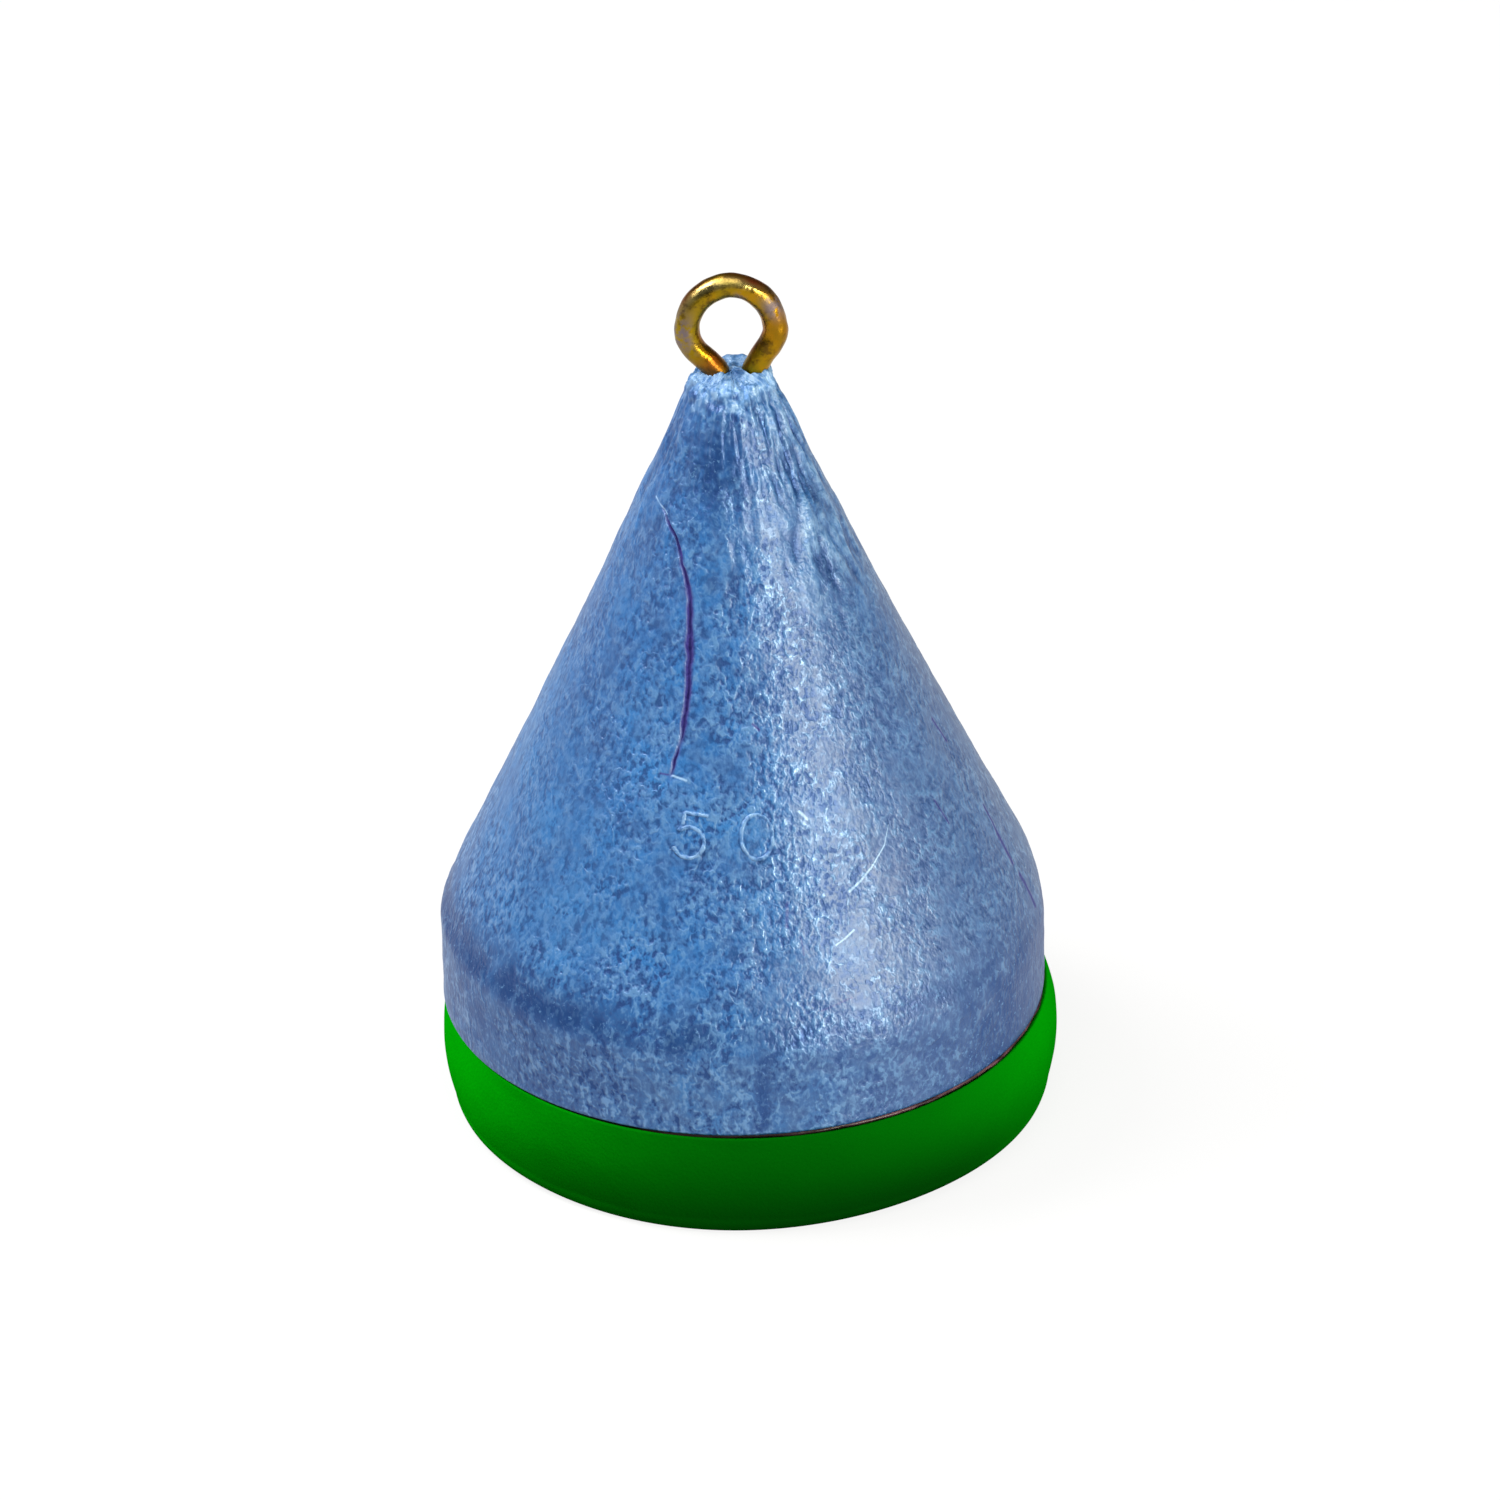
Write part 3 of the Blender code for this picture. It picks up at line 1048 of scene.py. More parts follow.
class NodeSheet:
    """Adds nodes to one node tree and joins them."""

    def __init__(self, tree: bpy.types.NodeTree) -> None:
        """Keep the tree that is built."""
        self.tree = tree

    def add(self, kind: str, wires: dict[Any, Any] | None = None, **settings: Any) -> bpy.types.Node:
        """Add a node.

        Args:
            kind: Blender's name of the node type.
            wires: Input name or number to a socket that feeds it or a fixed value.
            settings: Properties of the node.

        Returns:
            The new node.
        """
        node = self.tree.nodes.new(kind)
        for key, value in settings.items():
            setattr(node, key, value)
        self.wire(node, wires or {})
        return node

    def wire(self, node: bpy.types.Node, wires: dict[Any, Any]) -> None:
        """Feed a node's inputs.

        Args:
            node: The node.
            wires: Input name or number to a socket that feeds it or a fixed value.
        """
        for key, value in wires.items():
            if isinstance(value, Socket):
                self.tree.links.new(value, node.inputs[key])
            else:
                node.inputs[key].default_value = value

    def noise(self, vector: Socket, scale: Any, detail: float, rough: float) -> Socket:
        """Noise texture's value, about 0.5 in the middle."""
        wires = {"Vector": vector, "Scale": scale, "Detail": detail, "Roughness": rough}
        return self.add("ShaderNodeTexNoise", wires).outputs["Fac"]

    def span(self, value: Any, low: Any, high: Any, to_low: Any = 0.0, to_high: Any = 1.0) -> Socket:
        """Map a value from one range to another with smooth ends."""
        wires = {"Value": value, "From Min": low, "From Max": high, "To Min": to_low, "To Max": to_high}
        return self.add("ShaderNodeMapRange", wires, interpolation_type="SMOOTHSTEP").outputs["Result"]

    def math(self, operation: str, first: Any, second: Any = 0.0) -> Socket:
        """One step of arithmetic."""
        return self.add("ShaderNodeMath", {0: first, 1: second}, operation=operation).outputs[0]

    def times(self, first: Any, second: Any) -> Socket:
        """Product of two values."""
        return self.math("MULTIPLY", first, second)

    def most(self, *values: Any) -> Socket:
        """Greatest of several values."""
        return functools.reduce(functools.partial(self.math, "MAXIMUM"), values)

    def vector(self, operation: str, first: Any, second: Any, output: str = "Vector") -> Socket:
        """One step of vector arithmetic."""
        node = self.add("ShaderNodeVectorMath", {0: first, 1: second}, operation=operation)
        return node.outputs[output]

    def layers(self, base: Any, *coats: tuple[Any, Any]) -> Any:
        """Lay colours over a base colour, one after another.

        Args:
            base: The first colour, as a socket or a fixed colour.
            coats: For each layer, the share of it that shows and its colour.

        Returns:
            The final colour.
        """
        # Inputs 6 and 7 and output 2 of a mix node are those for colours.
        for share, coat in coats:
            pair = [(*colour, 1.0) if isinstance(colour, tuple) else colour for colour in (base, coat)]
            base = self.add("ShaderNodeMix", {0: share, 6: pair[0], 7: pair[1]}, data_type="RGBA").outputs[2]
        return base


class Effect:
    """Base of the shared effects: each kind is one shader node group, built when it is first used."""

    name: ClassVar[str]
    vectors: ClassVar[tuple[str, ...]] = ("Vector",)
    numbers: ClassVar[tuple[str, ...]] = ("Scale",)
    results: ClassVar[tuple[str, ...]]

    @classmethod
    def tree(cls) -> bpy.types.NodeTree:
        """Find or build the group.

        Returns:
            The group of this kind of effect.
        """
        found = bpy.data.node_groups.get(cls.name)
        if found is not None:
            return found
        tree = bpy.data.node_groups.new(cls.name, "ShaderNodeTree")
        for key in cls.vectors:
            tree.interface.new_socket(key, in_out="INPUT", socket_type="NodeSocketVector")
        for key in cls.numbers:
            tree.interface.new_socket(key, in_out="INPUT", socket_type="NodeSocketFloat")
        for key in cls.results:
            tree.interface.new_socket(key, in_out="OUTPUT", socket_type="NodeSocketFloat")
        sheet = NodeSheet(tree)
        sheet.add("NodeGroupOutput", cls.fill(sheet, sheet.add("NodeGroupInput").outputs))
        return tree

    @classmethod
    def fill(cls, sheet: NodeSheet, given: Any) -> dict[str, Socket]:
        """Add the group's nodes, from its inputs to its named results."""
        raise NotImplementedError


class Crystals(Effect):
    """Crystalline skin of a casting: noise alike at every size, with thin folds, calmer in patches."""

    name = "cast_crystals"
    results = ("Grain", "Fleck", "Pore", "Height")
    middle: ClassVar[float] = 0.5
    grain_noise: ClassVar[Pair] = (1.6, 0.9)
    calm_scale: ClassVar[float] = 0.16
    calm_noise: ClassVar[Pair] = (2.0, 0.7)
    calm_span: ClassVar[tuple[float, ...]] = (0.36, 0.56, 0.5, 1.0)
    fold_scale: ClassVar[float] = 0.45
    fold_noise: ClassVar[Pair] = (2.0, 0.6)
    ridge_span: ClassVar[tuple[float, ...]] = (0.05, 0.0, 0.0, 0.10)
    groove_span: ClassVar[tuple[float, ...]] = (0.03, 0.09, 0.0, 0.04)
    grain_span: ClassVar[Pair] = (0.40, 0.60)
    fleck_span: ClassVar[Pair] = (0.49, 0.69)
    pore_span: ClassVar[Pair] = (0.50, 0.34)

    @classmethod
    def fill(cls, sheet: NodeSheet, given: Any) -> dict[str, Socket]:
        """Add the nodes.

        Args:
            sheet: The group's sheet.
            given: The group's inputs.

        Returns:
            The grain from 0 to 1, its light flecks, its dark pores and its height about 0.
        """
        vector, scale = given["Vector"], given["Scale"]
        calm = sheet.noise(vector, sheet.times(scale, cls.calm_scale), *cls.calm_noise)
        rough = sheet.span(calm, *cls.calm_span)
        fold = sheet.noise(vector, sheet.times(scale, cls.fold_scale), *cls.fold_noise)
        fold = sheet.math("ABSOLUTE", sheet.math("SUBTRACT", fold, cls.middle))
        grain = sheet.noise(vector, scale, *cls.grain_noise)
        grain = sheet.math("ADD", grain, sheet.span(fold, *cls.ridge_span))
        grain = sheet.math("SUBTRACT", grain, sheet.span(fold, *cls.groove_span))
        return {
            "Grain": sheet.span(grain, *cls.grain_span),
            "Fleck": sheet.times(sheet.span(grain, *cls.fleck_span), rough),
            "Pore": sheet.times(sheet.span(grain, *cls.pore_span), rough),
            "Height": sheet.times(sheet.math("SUBTRACT", grain, cls.middle), rough),
        }


class Stroke(Effect):
    """A straight scratch: 1 on the line between two points, falling to 0 at a width from it."""

    name = "scratch_stroke"
    vectors = ("Vector", "Start", "End")
    numbers = ("Width",)
    results = ("Mask",)

    @classmethod
    def fill(cls, sheet: NodeSheet, given: Any) -> dict[str, Socket]:
        """Add the nodes, which measure the distance to the nearest point of the line.

        Args:
            sheet: The group's sheet.
            given: The group's inputs.

        Returns:
            The mask.
        """
        line = sheet.vector("SUBTRACT", given["End"], given["Start"])
        reach = sheet.vector("SUBTRACT", given["Vector"], given["Start"])
        products = (sheet.vector("DOT_PRODUCT", side, line, "Value") for side in (reach, line))
        share = sheet.add("ShaderNodeClamp", {"Value": sheet.math("DIVIDE", *products)}).outputs[0]
        nearest = sheet.add("ShaderNodeVectorMath", {0: line, "Scale": share}, operation="SCALE")
        away = sheet.vector("DISTANCE", reach, nearest.outputs["Vector"], "Value")
        return {"Mask": sheet.span(away, given["Width"], 0.0)}


@dataclass(frozen=True)
class Patches(Effect):
    """Irregular soft-edged patches: noise cut at a level. The share is how much of them shows."""

    name = "soft_patches"
    numbers = ("Scale", "Level", "Softness")
    results = ("Mask",)
    detail: ClassVar[float] = 5.0
    roughness: ClassVar[float] = 0.62

    scale: float
    level: float
    softness: float
    share: float = 1.0

    @classmethod
    def fill(cls, sheet: NodeSheet, given: Any) -> dict[str, Socket]:
        """Add the nodes.

        Args:
            sheet: The group's sheet.
            given: The group's inputs.

        Returns:
            The mask.
        """
        value = sheet.noise(given["Vector"], given["Scale"], cls.detail, cls.roughness)
        edges = (sheet.math(step, given["Level"], given["Softness"]) for step in ("SUBTRACT", "ADD"))
        return {"Mask": sheet.span(value, *edges)}


@dataclass(frozen=True)
class Tooth(Effect):
    """Very fine unevenness of a matt surface: small cells over still smaller noise."""

    name = "fine_tooth"
    results = ("Height",)
    grain_scale: ClassVar[float] = 2.3
    grain_noise: ClassVar[Pair] = (2.0, 0.5)
    grain_share: ClassVar[float] = 0.6

    scale: float
    depth: float
    strength: float

    @classmethod
    def fill(cls, sheet: NodeSheet, given: Any) -> dict[str, Socket]:
        """Add the nodes.

        Args:
            sheet: The group's sheet.
            given: The group's inputs.

        Returns:
            The height.
        """
        vector, scale = given["Vector"], given["Scale"]
        cells = sheet.add("ShaderNodeTexVoronoi", {"Vector": vector, "Scale": scale}).outputs["Distance"]
        grain = sheet.noise(vector, sheet.times(scale, cls.grain_scale), *cls.grain_noise)
        return {"Height": sheet.math("ADD", cells, sheet.times(grain, cls.grain_share))}


class MaterialSheet(NodeSheet):
    """The node tree of a new material, with its Principled shader and its Object coordinates."""

    def __init__(self, name: str) -> None:
        """Open a material.

        Args:
            name: Name of the material.
        """
        self.material = bpy.data.materials.new(name)
        self.material.use_nodes = True
        super().__init__(self.material.node_tree)
        self.shader = self.tree.nodes["Principled BSDF"]
        self.place = self.add("ShaderNodeTexCoord").outputs["Object"]

    def axis(self, name: str) -> Socket:
        """One of the Object coordinates."""
        return self.add("ShaderNodeSeparateXYZ", {0: self.place}).outputs[name]

    def mark(self, name: str) -> Socket:
        """A mark that the piece carries as a mesh attribute."""
        return self.add("ShaderNodeAttribute", attribute_name=name).outputs["Fac"]

    def effect(self, kind: type[Effect], wires: dict[str, Any]) -> Any:
        """Place a shared effect, on the Object coordinates unless told otherwise, and return its outputs."""
        return self.add("ShaderNodeGroup", {"Vector": self.place, **wires}, node_tree=kind.tree()).outputs

    def patches(self, look: Patches) -> Socket:
        """Mask of irregular patches, times their share."""
        wires = {"Scale": look.scale, "Level": look.level, "Softness": look.softness}
        return self.times(self.effect(Patches, wires)["Mask"], look.share)

    def bump(self, height: Socket, depth: float, strength: float) -> None:
        """Feed a height to the shader's normal."""
        node = self.add("ShaderNodeBump", {"Height": height, "Distance": depth, "Strength": strength})
        self.wire(self.shader, {"Normal": node.outputs["Normal"]})

    def tooth(self, look: Tooth) -> None:
        """Give the shader a very fine unevenness."""
        self.bump(self.effect(Tooth, {"Scale": look.scale})["Height"], look.depth, look.strength)


# Finishes


class Tone(Enum):
    """How a scratch looks against the skin, with the strength of its mark."""

    LIGHT = 1.0
    DARK = 0.85
    FAINT = 0.5


@dataclass(frozen=True)
class Scratch:
    """A scratch on the cone in straight runs, each of its own width in millimetres.

    Its points are heights in millimetres with bearings in degrees.
    """

    tone: Tone
    widths: tuple[float, ...]
    points: tuple[Pair, ...]


BOWED_SCRATCH = ((12.49, 25.5), (12.73, 29.1), (13.03, 32.6), (13.57, 37.7), (14.14, 40.5))

SCRATCHES = (
    Scratch(Tone.LIGHT, (0.075, 0.07, 0.05, 0.03), BOWED_SCRATCH),
    Scratch(Tone.LIGHT, (0.08,), ((15.4, 15.8), (15.1, 17.8))),
    Scratch(Tone.LIGHT, (0.05, 0.06), ((10.9, 20.0), (11.03, 22.2), (11.24, 24.6))),
    Scratch(Tone.LIGHT, (0.06,), ((25.2, -62.0), (24.9, -47.0))),
    Scratch(Tone.LIGHT, (0.07,), ((16.6, -20.8), (16.5, -16.4))),
    Scratch(Tone.DARK, (0.07,), ((18.4, 4.3), (18.2, 6.4))),
    Scratch(Tone.DARK, (0.07,), ((16.6, -24.6), (16.6, -21.5))),
    Scratch(Tone.DARK, (0.13,), ((16.0, 75.7), (15.0, 77.8))),
    Scratch(Tone.DARK, (0.07,), ((14.0, 58.6), (13.05, 60.2))),
    Scratch(Tone.DARK, (0.15, 0.21), ((12.3, 78.8), (11.2, 78.5), (10.05, 78.6))),
    Scratch(Tone.DARK, (0.20,), ((9.5, 79.1), (8.1, 80.3))),
    Scratch(Tone.FAINT, (0.12,), ((12.5, 10.0), (11.75, 9.5))),
    Scratch(Tone.FAINT, (0.06,), ((11.35, 12.4), (10.75, 12.7))),
    Scratch(Tone.FAINT, (0.06,), ((8.87, 15.0), (9.12, 21.5))),
)


@dataclass(frozen=True)
class LeadFinish:
    """Dull cast lead: a blue-grey skin with pale crystals and dark pores, bright where cut or scratched,
    with painted shade, a painted shadow and painted highlights where its piece marks them, and painted shade
    and light on its right and left sides.
    """

    skin: Colour = (0.010, 0.165, 0.48)
    shade: Colour = (0.001, 0.050, 0.22)
    grey: Colour = (0.045, 0.155, 0.38)
    pale: Colour = (0.12, 0.285, 0.57)
    # Painted shade on the right side and painted light on the left: the right darker and greyer, the left
    # lighter teal.
    right_shade_grey: Colour = (0.055, 0.120, 0.30)
    left_light_teal: Colour = (0.016, 0.195, 0.50)
    cut: Colour = (0.34, 0.56, 0.85)
    soot: Colour = (0.028, 0.018, 0.21)
    tint: Patches = Patches(1100.0, 0.5, 0.12, 0.8)
    cloud: Patches = Patches(170.0, 0.5, 0.15, 0.35)
    mottle: Patches = Patches(700.0, 0.5, 0.16, 0.3)
    speck: Patches = Patches(5200.0, 0.64, 0.05)
    # How the crystals show on the mark of seam smear and painted shade.
    speck_on_seam_and_shade: Pair = (0.2, 0.95)
    fleck_on_seam_and_shade: Pair = (1.0, 0.42)
    right_shade_reach: tuple[float, ...] = (0.0, 7 * MM, 0.0, 0.7)
    left_light_reach: tuple[float, ...] = (-2 * MM, -9 * MM, 0.0, 0.6)
    bare_crystals: Pair = (0.3, 0.85)
    ior: float = 1.79
    skin_rough: float = 0.46
    pale_rough: float = 0.32
    pore_rough: float = 0.65
    pale_metallic: float = 0.2
    pore_metallic: float = 0.5
    seam_and_shade_metallic: float = 0.55
    grain_scale: float = 3600.0
    grain_depth: float = 0.072 * MM
    grain_strength: float = 1.0
    grain_draw: tuple[float, float, float] = (1.0, 1.0, 0.75)

    def scratches(self, sheet: MaterialSheet, casting: LeadCasting) -> dict[Tone, list[Socket]]:
        """Masks of the scratches.

        Args:
            sheet: The material's sheet.
            casting: The cone that they lie on.

        Returns:
            The masks of each tone, at its strength.
        """
        masks = {tone: [] for tone in Tone}
        for scratch in SCRATCHES:
            spots = [casting.spot(*point) for point in scratch.points]
            for start, end, width in zip(spots, spots[1:], scratch.widths):
                stroke = sheet.effect(Stroke, {"Start": start, "End": end, "Width": width * MM})
                masks[scratch.tone].append(sheet.times(stroke["Mask"], scratch.tone.value))
        return masks

    def make(self, name: str, casting: LeadCasting) -> bpy.types.Material:
        """Build the material.

        Args:
            name: Name of the material.
            casting: The cone that the scratches lie on.

        Returns:
            The material, which reads from its piece the marks for the crack, the cut tip with painted crest
            highlights, the seam with painted shade, and the grain.
        """
        sheet = MaterialSheet(name)
        drawn = sheet.vector("MULTIPLY", sheet.place, self.grain_draw)
        crystals = sheet.effect(Crystals, {"Vector": drawn, "Scale": self.grain_scale})
        seam_and_painted_shade, grainy = sheet.mark("seam_and_painted_shade"), sheet.mark("grainy")
        fleck, pore = (sheet.times(crystals[key], grainy) for key in ("Fleck", "Pore"))
        fleck = sheet.times(fleck, sheet.span(seam_and_painted_shade, 0.0, 1.0, *self.fleck_on_seam_and_shade))
        speck = sheet.times(sheet.patches(self.speck), sheet.span(seam_and_painted_shade, 0.0, 1.0, *self.speck_on_seam_and_shade))
        masks = self.scratches(sheet, casting)
        light = sheet.most(0.0, *masks[Tone.LIGHT])
        dark = sheet.most(sheet.mark("crack"), *masks[Tone.DARK], *masks[Tone.FAINT])
        across = sheet.axis("X")
        crystalline = sheet.span(crystals["Grain"], 0.0, 1.0, *self.bare_crystals)
        colour = sheet.layers(
            self.skin,
            (sheet.patches(self.tint), self.grey),
            # Painted shade on the right side, then painted light on the left side.
            (sheet.span(across, *self.right_shade_reach), self.right_shade_grey),
            (sheet.span(across, *self.left_light_reach), self.left_light_teal),
            (sheet.patches(self.cloud), self.shade),
            (sheet.patches(self.mottle), self.shade),
            # Painted shade and the painted shadow, with the seam's dark smear.
            (seam_and_painted_shade, self.shade),
            (pore, self.shade),
            (fleck, self.pale),
            (speck, self.pale),
            # Bare cut tip, with the painted highlight on the wrinkle crests.
            (sheet.mark("cut"), sheet.layers(self.skin, (crystalline, self.cut))),
            (light, self.cut),
            (dark, self.soot),
        )
        rough = sheet.span(fleck, 0.0, 1.0, self.skin_rough, self.pale_rough)
        rough = sheet.most(rough, sheet.times(pore, self.pore_rough), dark)
        # Where the painted shade lies the skin turns partly metallic, which darkens its reflections.
        metals = ((fleck, self.pale_metallic), (pore, self.pore_metallic), (seam_and_painted_shade, self.seam_and_shade_metallic))
        metal = sheet.most(*(sheet.times(*pair) for pair in metals))
        wires = {"Base Color": colour, "Roughness": rough, "Metallic": metal, "IOR": self.ior}
        sheet.wire(sheet.shader, wires)
        sheet.bump(crystals["Height"], self.grain_depth, self.grain_strength)
        return sheet.material


@dataclass(frozen=True)
class BrassFinish:
    """Drawn brass wire: golden, with brown on its outer rim and inner side, partly tarnish and partly
    painted shade, grey worn patches and a pale painted highlight.
    """

    bright: Colour = (0.39, 0.195, 0.004)
    olive: Colour = (0.23, 0.182, 0.009)
    dark: Colour = (0.085, 0.045, 0.010)
    brown: Colour = (0.20, 0.026, 0.003)
    grey: Colour = (0.22, 0.17, 0.17)
    polish_and_painted_highlight: Colour = (0.92, 0.80, 0.32)
    tarnish: Patches = Patches(800.0, 0.5, 0.15)
    tarnish_share: float = 0.7
    left_reach: tuple[float, ...] = (0.4 * MM, -1.4 * MM, 0.0, 0.65)
    worn: Patches = Patches(2600.0, 0.45, 0.07)
    spots: Patches = Patches(1700.0, 0.58, 0.07, 0.75)
    rough: Pair = (0.26, 0.38)
    highlight_polish: float = 0.10
    grey_rough: float = 0.3
    brown_metallic: float = 0.85
    tooth: Tooth = Tooth(9000.0, 0.02 * MM, 0.25)

    def make(self, name: str) -> bpy.types.Material:
        """Build the material.

        Args:
            name: Name of the material.

        Returns:
            The material, which reads from its piece the marks for brown, for grey and for the painted
            highlight.
        """
        sheet = MaterialSheet(name)
        tarnish = sheet.patches(self.tarnish)
        left = sheet.span(sheet.axis("X"), *self.left_reach)
        brown, grey, polish_and_painted_highlight = (sheet.mark(key) for key in ("brown", "grey", "polish_and_painted_highlight"))
        grey = sheet.times(grey, sheet.patches(self.worn))
        colour = sheet.layers(
            self.bright,
            (sheet.most(sheet.times(tarnish, self.tarnish_share), left), self.olive),
            # Painted highlight: a pale patch on the crown.
            (polish_and_painted_highlight, self.polish_and_painted_highlight),
            # Brown, partly painted shade on the rim and inner side.
            (brown, self.brown),
            (sheet.patches(self.spots), self.dark),
            (grey, self.grey),
        )
        rough = sheet.span(tarnish, 0.0, 1.0, *self.rough)
        # The painted highlight patch is also smoother.
        rough = sheet.math("SUBTRACT", rough, sheet.times(polish_and_painted_highlight, self.highlight_polish))
        rough = sheet.math("ADD", rough, sheet.times(grey, self.grey_rough))
        metal = sheet.span(brown, 0.0, 1.0, 1.0, self.brown_metallic)
        sheet.wire(sheet.shader, {"Base Color": colour, "Roughness": rough, "Metallic": metal})
        sheet.tooth(self.tooth)
        return sheet.material


@dataclass(frozen=True)
class FoamFinish:
    """Dyed closed-cell foam: deep green, matt, with fine cells, painted light on its sides, and painted
    shade that darkens it towards the bottom and most at the front right.
    """

    dye: Colour = (0.0005, 0.108, 0.0015)
    painted_side_light: Colour = (0.0005, 0.44, 0.0015)
    deep: Colour = (0.0005, 0.048, 0.0015)
    low_shade_reach: tuple[float, ...] = (4.0 * MM, 0.0, 0.0, 0.75)
    front_right_shade_gain: Pair = (1.0, 1.5)
    side_light_clean: float = 0.9
    blotches: Patches = Patches(260.0, 0.5, 0.25, 0.12)
    roughness: float = 0.85
    specular: float = 0.0
    tooth: Tooth = Tooth(7000.0, 0.03 * MM, 0.25)

    def make(self, name: str) -> bpy.types.Material:
        """Build the material.

        Args:
            name: Name of the material.

        Returns:
            The material, which reads from its piece the marks for its painted side light and its painted
            front-right shade.
        """
        sheet = MaterialSheet(name)
        painted_side_light, front_right_shade = sheet.mark("painted_side_light"), sheet.mark("front_right_shade")
        # Painted shade: darker towards the bottom, most at the front right, and less where the sides carry
        # painted light.
        painted_low_shade = sheet.span(sheet.axis("Z"), *self.low_shade_reach)
        painted_low_shade = sheet.times(painted_low_shade, sheet.span(front_right_shade, 0.0, 1.0, *self.front_right_shade_gain))
        painted_low_shade = sheet.times(painted_low_shade, sheet.math("SUBTRACT", 1.0, sheet.times(painted_side_light, self.side_light_clean)))
        # Painted light on the sides, then painted shade low down, then random darker blotches.
        coats = ((painted_side_light, self.painted_side_light), (painted_low_shade, self.deep), (sheet.patches(self.blotches), self.deep))
        wires = {"Base Color": sheet.layers(self.dye, *coats), "Roughness": self.roughness}
        sheet.wire(sheet.shader, {**wires, "Specular IOR Level": self.specular})
        sheet.tooth(self.tooth)
        return sheet.material


@dataclass(frozen=True)
class GlueFinish:
    """Set adhesive: dark amber with paler streaks at the right."""

    amber: Colour = (0.045, 0.020, 0.028)
    pale: Colour = (0.24, 0.11, 0.15)
    streaks: Patches = Patches(700.0, 0.5, 0.15)
    streak_reach: Pair = (0.0, 6 * MM)
    roughness: float = 0.35
    tooth: Tooth = Tooth(5000.0, 0.02 * MM, 0.3)

    def make(self, name: str) -> bpy.types.Material:
        """Build the material.

        Args:
            name: Name of the material.

        Returns:
            The material.
        """
        sheet = MaterialSheet(name)
        share = sheet.times(sheet.patches(self.streaks), sheet.span(sheet.axis("X"), *self.streak_reach))
        colour = sheet.layers(self.amber, (share, self.pale))
        sheet.wire(sheet.shader, {"Base Color": colour, "Roughness": self.roughness})
        sheet.tooth(self.tooth)
        return sheet.material


# Studio


@dataclass(frozen=True)
class Lamp:
    """A soft lamp, placed by bearing and elevation in degrees and by its distance from what it faces."""

    name: str
    bearing: float
    elevation: float
    distance: float
    wide: float
    tall: float
    radiance: float
    colour: Colour = (1.0, 1.0, 1.0)

    def build(self, target: Vector) -> None:
        """Make the lamp, facing a point.

        Args:
            target: What it faces.
        """
        data = bpy.data.lights.new(self.name, "AREA")
        data.shape = "RECTANGLE"
        data.size, data.size_y = self.wide, self.tall
        data.energy = self.radiance * math.pi * self.wide * self.tall
        data.color = self.colour
        lamp = bpy.data.objects.new(self.name, data)
        across, up = math.radians(self.bearing), math.radians(self.elevation)
        level = math.cos(up)
        away = Vector((math.sin(across) * level, -math.cos(across) * level, math.sin(up)))
        lamp.location = target + away * self.distance
        lamp.rotation_euler = away.to_track_quat("Z", "Y").to_euler()
        lamp.visible_camera = False
        bpy.context.scene.collection.objects.link(lamp)


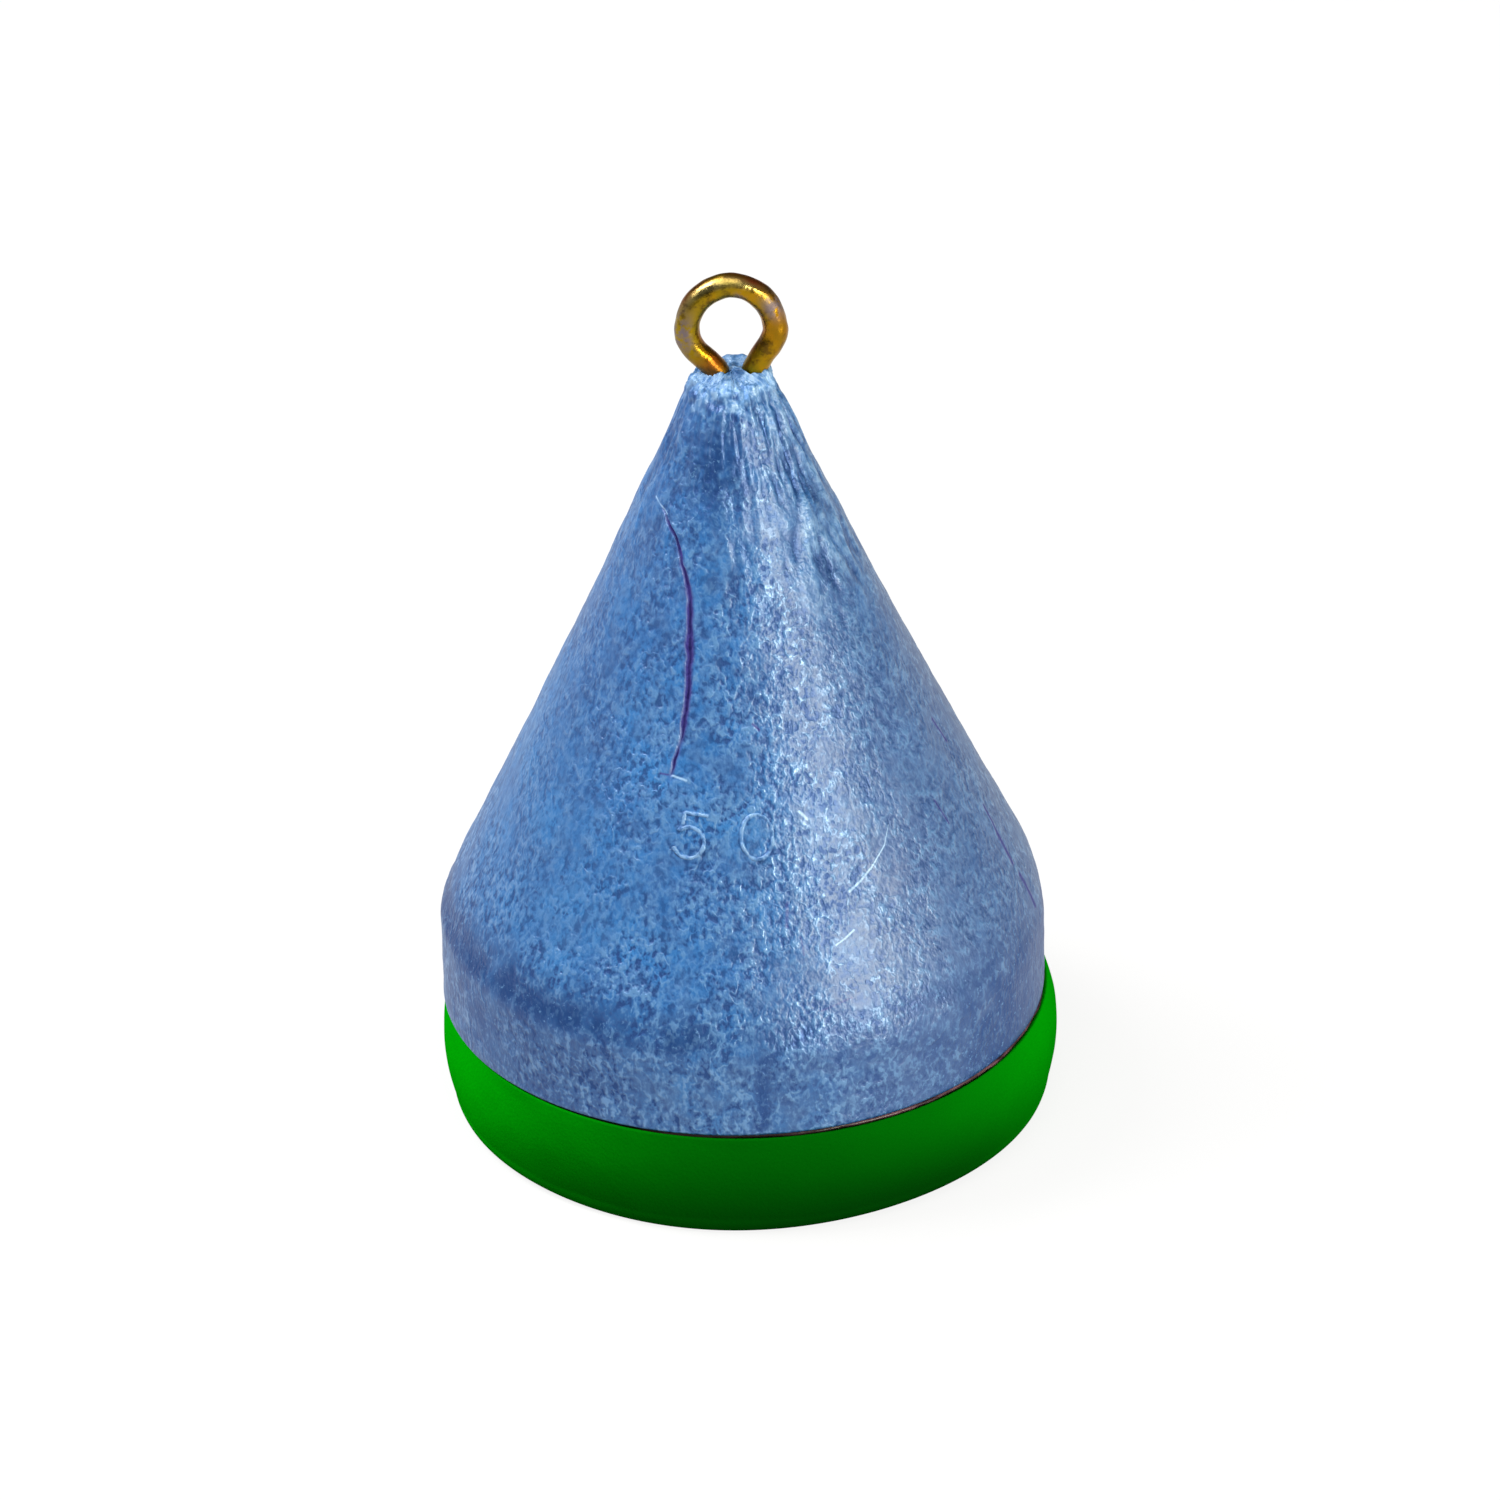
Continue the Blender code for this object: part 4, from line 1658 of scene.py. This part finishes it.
@dataclass
class Studio:
    """A pale floor, soft lamps, a dim surround and the camera at the photograph's place."""

    target: Vector = field(default_factory=lambda: Vector((0.0, 0.0, 14 * MM)))
    floor_half: float = 10.0
    floor_z: float = -0.02 * MM
    floor_white: float = 0.94
    floor_bounce: float = 0.35
    floor_glow: float = 0.86
    surround: Colour = (0.06, 0.06, 0.06)
    camera_distance: float = 423.8 * MM
    camera_elevation: float = 30.06
    camera_roll: float = 1.434
    camera_pivot_z: float = 11.245 * MM
    camera_aim: tuple[float, float, float] = (0.35 * MM, 1.14 * MM, 13.22 * MM)
    camera_lens: float = 279.9
    camera_sensor: float = 36.0
    camera_clip: Pair = (0.01, 40.0)
    # Name, bearing, elevation, distance, width, height, radiance and colour of each lamp
    lamps: tuple[Lamp, ...] = (
        Lamp("key_strip", 44.0, 15.0, 0.36, 0.06, 0.22, 29.5, (1.0, 0.96, 0.80)),
        Lamp("right_strip", 78.0, 14.0, 0.36, 0.14, 0.20, 1.1, (1.0, 0.74, 0.46)),
        Lamp("left_high", -95.0, 52.0, 0.36, 0.20, 0.20, 10.8),
        Lamp("right_high", 95.0, 52.0, 0.36, 0.20, 0.20, 0.3),
        Lamp("front_high", -16.0, 67.0, 0.36, 0.22, 0.22, 3.8),
    )

    def lay_floor(self) -> None:
        """Lay a pale floor that shows white to the camera and in reflections, and keeps the shadow."""
        half = self.floor_half
        corners = [(-half, -half, 0.0), (half, -half, 0.0), (half, half, 0.0), (-half, half, 0.0)]
        mesh = bpy.data.meshes.new("studio_floor")
        mesh.from_pydata(corners, [], [(0, 1, 2, 3)])
        floor = bpy.data.objects.new("studio_floor", mesh)
        floor.location.z = self.floor_z
        bpy.context.scene.collection.objects.link(floor)
        material = bpy.data.materials.new("studio_floor")
        material.use_nodes = True
        sheet = NodeSheet(material.node_tree)
        sheet.tree.nodes.remove(sheet.tree.nodes["Principled BSDF"])
        ray = sheet.add("ShaderNodeLightPath").outputs
        seen = sheet.most(ray["Is Camera Ray"], ray["Is Glossy Ray"], ray["Is Transmission Ray"])
        tone = sheet.layers((self.floor_bounce,) * 3, (seen, (self.floor_white,) * 3))
        matt = sheet.add("ShaderNodeBsdfDiffuse", {"Color": tone}).outputs[0]
        glow = sheet.add("ShaderNodeEmission", {"Color": (1.0, 1.0, 1.0, 1.0), "Strength": 1.0}).outputs[0]
        share = sheet.times(seen, self.floor_glow)
        mixed = sheet.add("ShaderNodeMixShader", {0: share, 1: matt, 2: glow}).outputs[0]
        sheet.wire(sheet.tree.nodes["Material Output"], {"Surface": mixed})
        mesh.materials.append(material)

    def light(self) -> None:
        """Hang the lamps and set the dim surround."""
        for lamp in self.lamps:
            lamp.build(self.target)
        world = bpy.data.worlds.new("surround")
        world.use_nodes = True
        world.node_tree.nodes["Background"].inputs["Color"].default_value = (*self.surround, 1.0)
        bpy.context.scene.world = world

    def set_camera(self) -> None:
        """Stand the camera where the photograph was taken from, rolled as the picture is."""
        rise, roll = math.radians(self.camera_elevation), math.radians(self.camera_roll)
        pivot = Vector((0.0, 0.0, self.camera_pivot_z))
        place = pivot + self.camera_distance * Vector((0.0, -math.cos(rise), math.sin(rise)))
        ahead = (Vector(self.camera_aim) - place).normalized()
        level = ahead.cross(Vector((0.0, 0.0, 1.0))).normalized()
        plumb = level.cross(ahead)
        right = math.cos(roll) * level - math.sin(roll) * plumb
        up = math.sin(roll) * level + math.cos(roll) * plumb
        data = bpy.data.cameras.new("photo_camera")
        data.lens, data.sensor_width = self.camera_lens, self.camera_sensor
        data.clip_start, data.clip_end = self.camera_clip
        camera = bpy.data.objects.new("photo_camera", data)
        turn = Matrix((right, up, -ahead)).transposed().to_4x4()
        camera.matrix_world = Matrix.Translation(place) @ turn
        bpy.context.scene.collection.objects.link(camera)
        bpy.context.scene.camera = camera

    def build(self) -> None:
        """Set up the whole studio with plain colour handling."""
        self.lay_floor()
        self.light()
        self.set_camera()
        bpy.context.scene.view_settings.view_transform = "Standard"


def main() -> None:
    """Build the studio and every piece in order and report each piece."""
    logging.basicConfig(level=logging.INFO, format="%(name)s %(message)s")
    Studio().build()
    lead_low, lead_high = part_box("lead_body")
    wire_low, wire_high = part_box("wire_eye")
    film_low, film_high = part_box("glue_film")
    pad_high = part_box("base_pad")[1]
    casting = LeadCasting(lead_low.z, lead_high.z, lead_high.x)
    number = CastNumber(casting)
    eye = WireEye(lead_high.z, wire_high.z, wire_high.x, wire_low.z, wire_high.y)
    lead = LeadFinish().make("cast_lead", casting)
    pieces = [
        casting.build(lead),
        *(number.build(figure, lead) for figure in Figure),
        eye.build(BrassFinish().make("drawn_brass")),
        GlueFilm(film_low.z, film_high.z).build(GlueFinish().make("set_glue")),
        BasePad(pad_high.z).build(FoamFinish().make("green_foam")),
    ]
    for piece in pieces:
        LOG.info("%s: %d points on %s", piece.name, len(piece.data.vertices), Body.WHOLE.value)


if __name__ == "__main__":
    main()
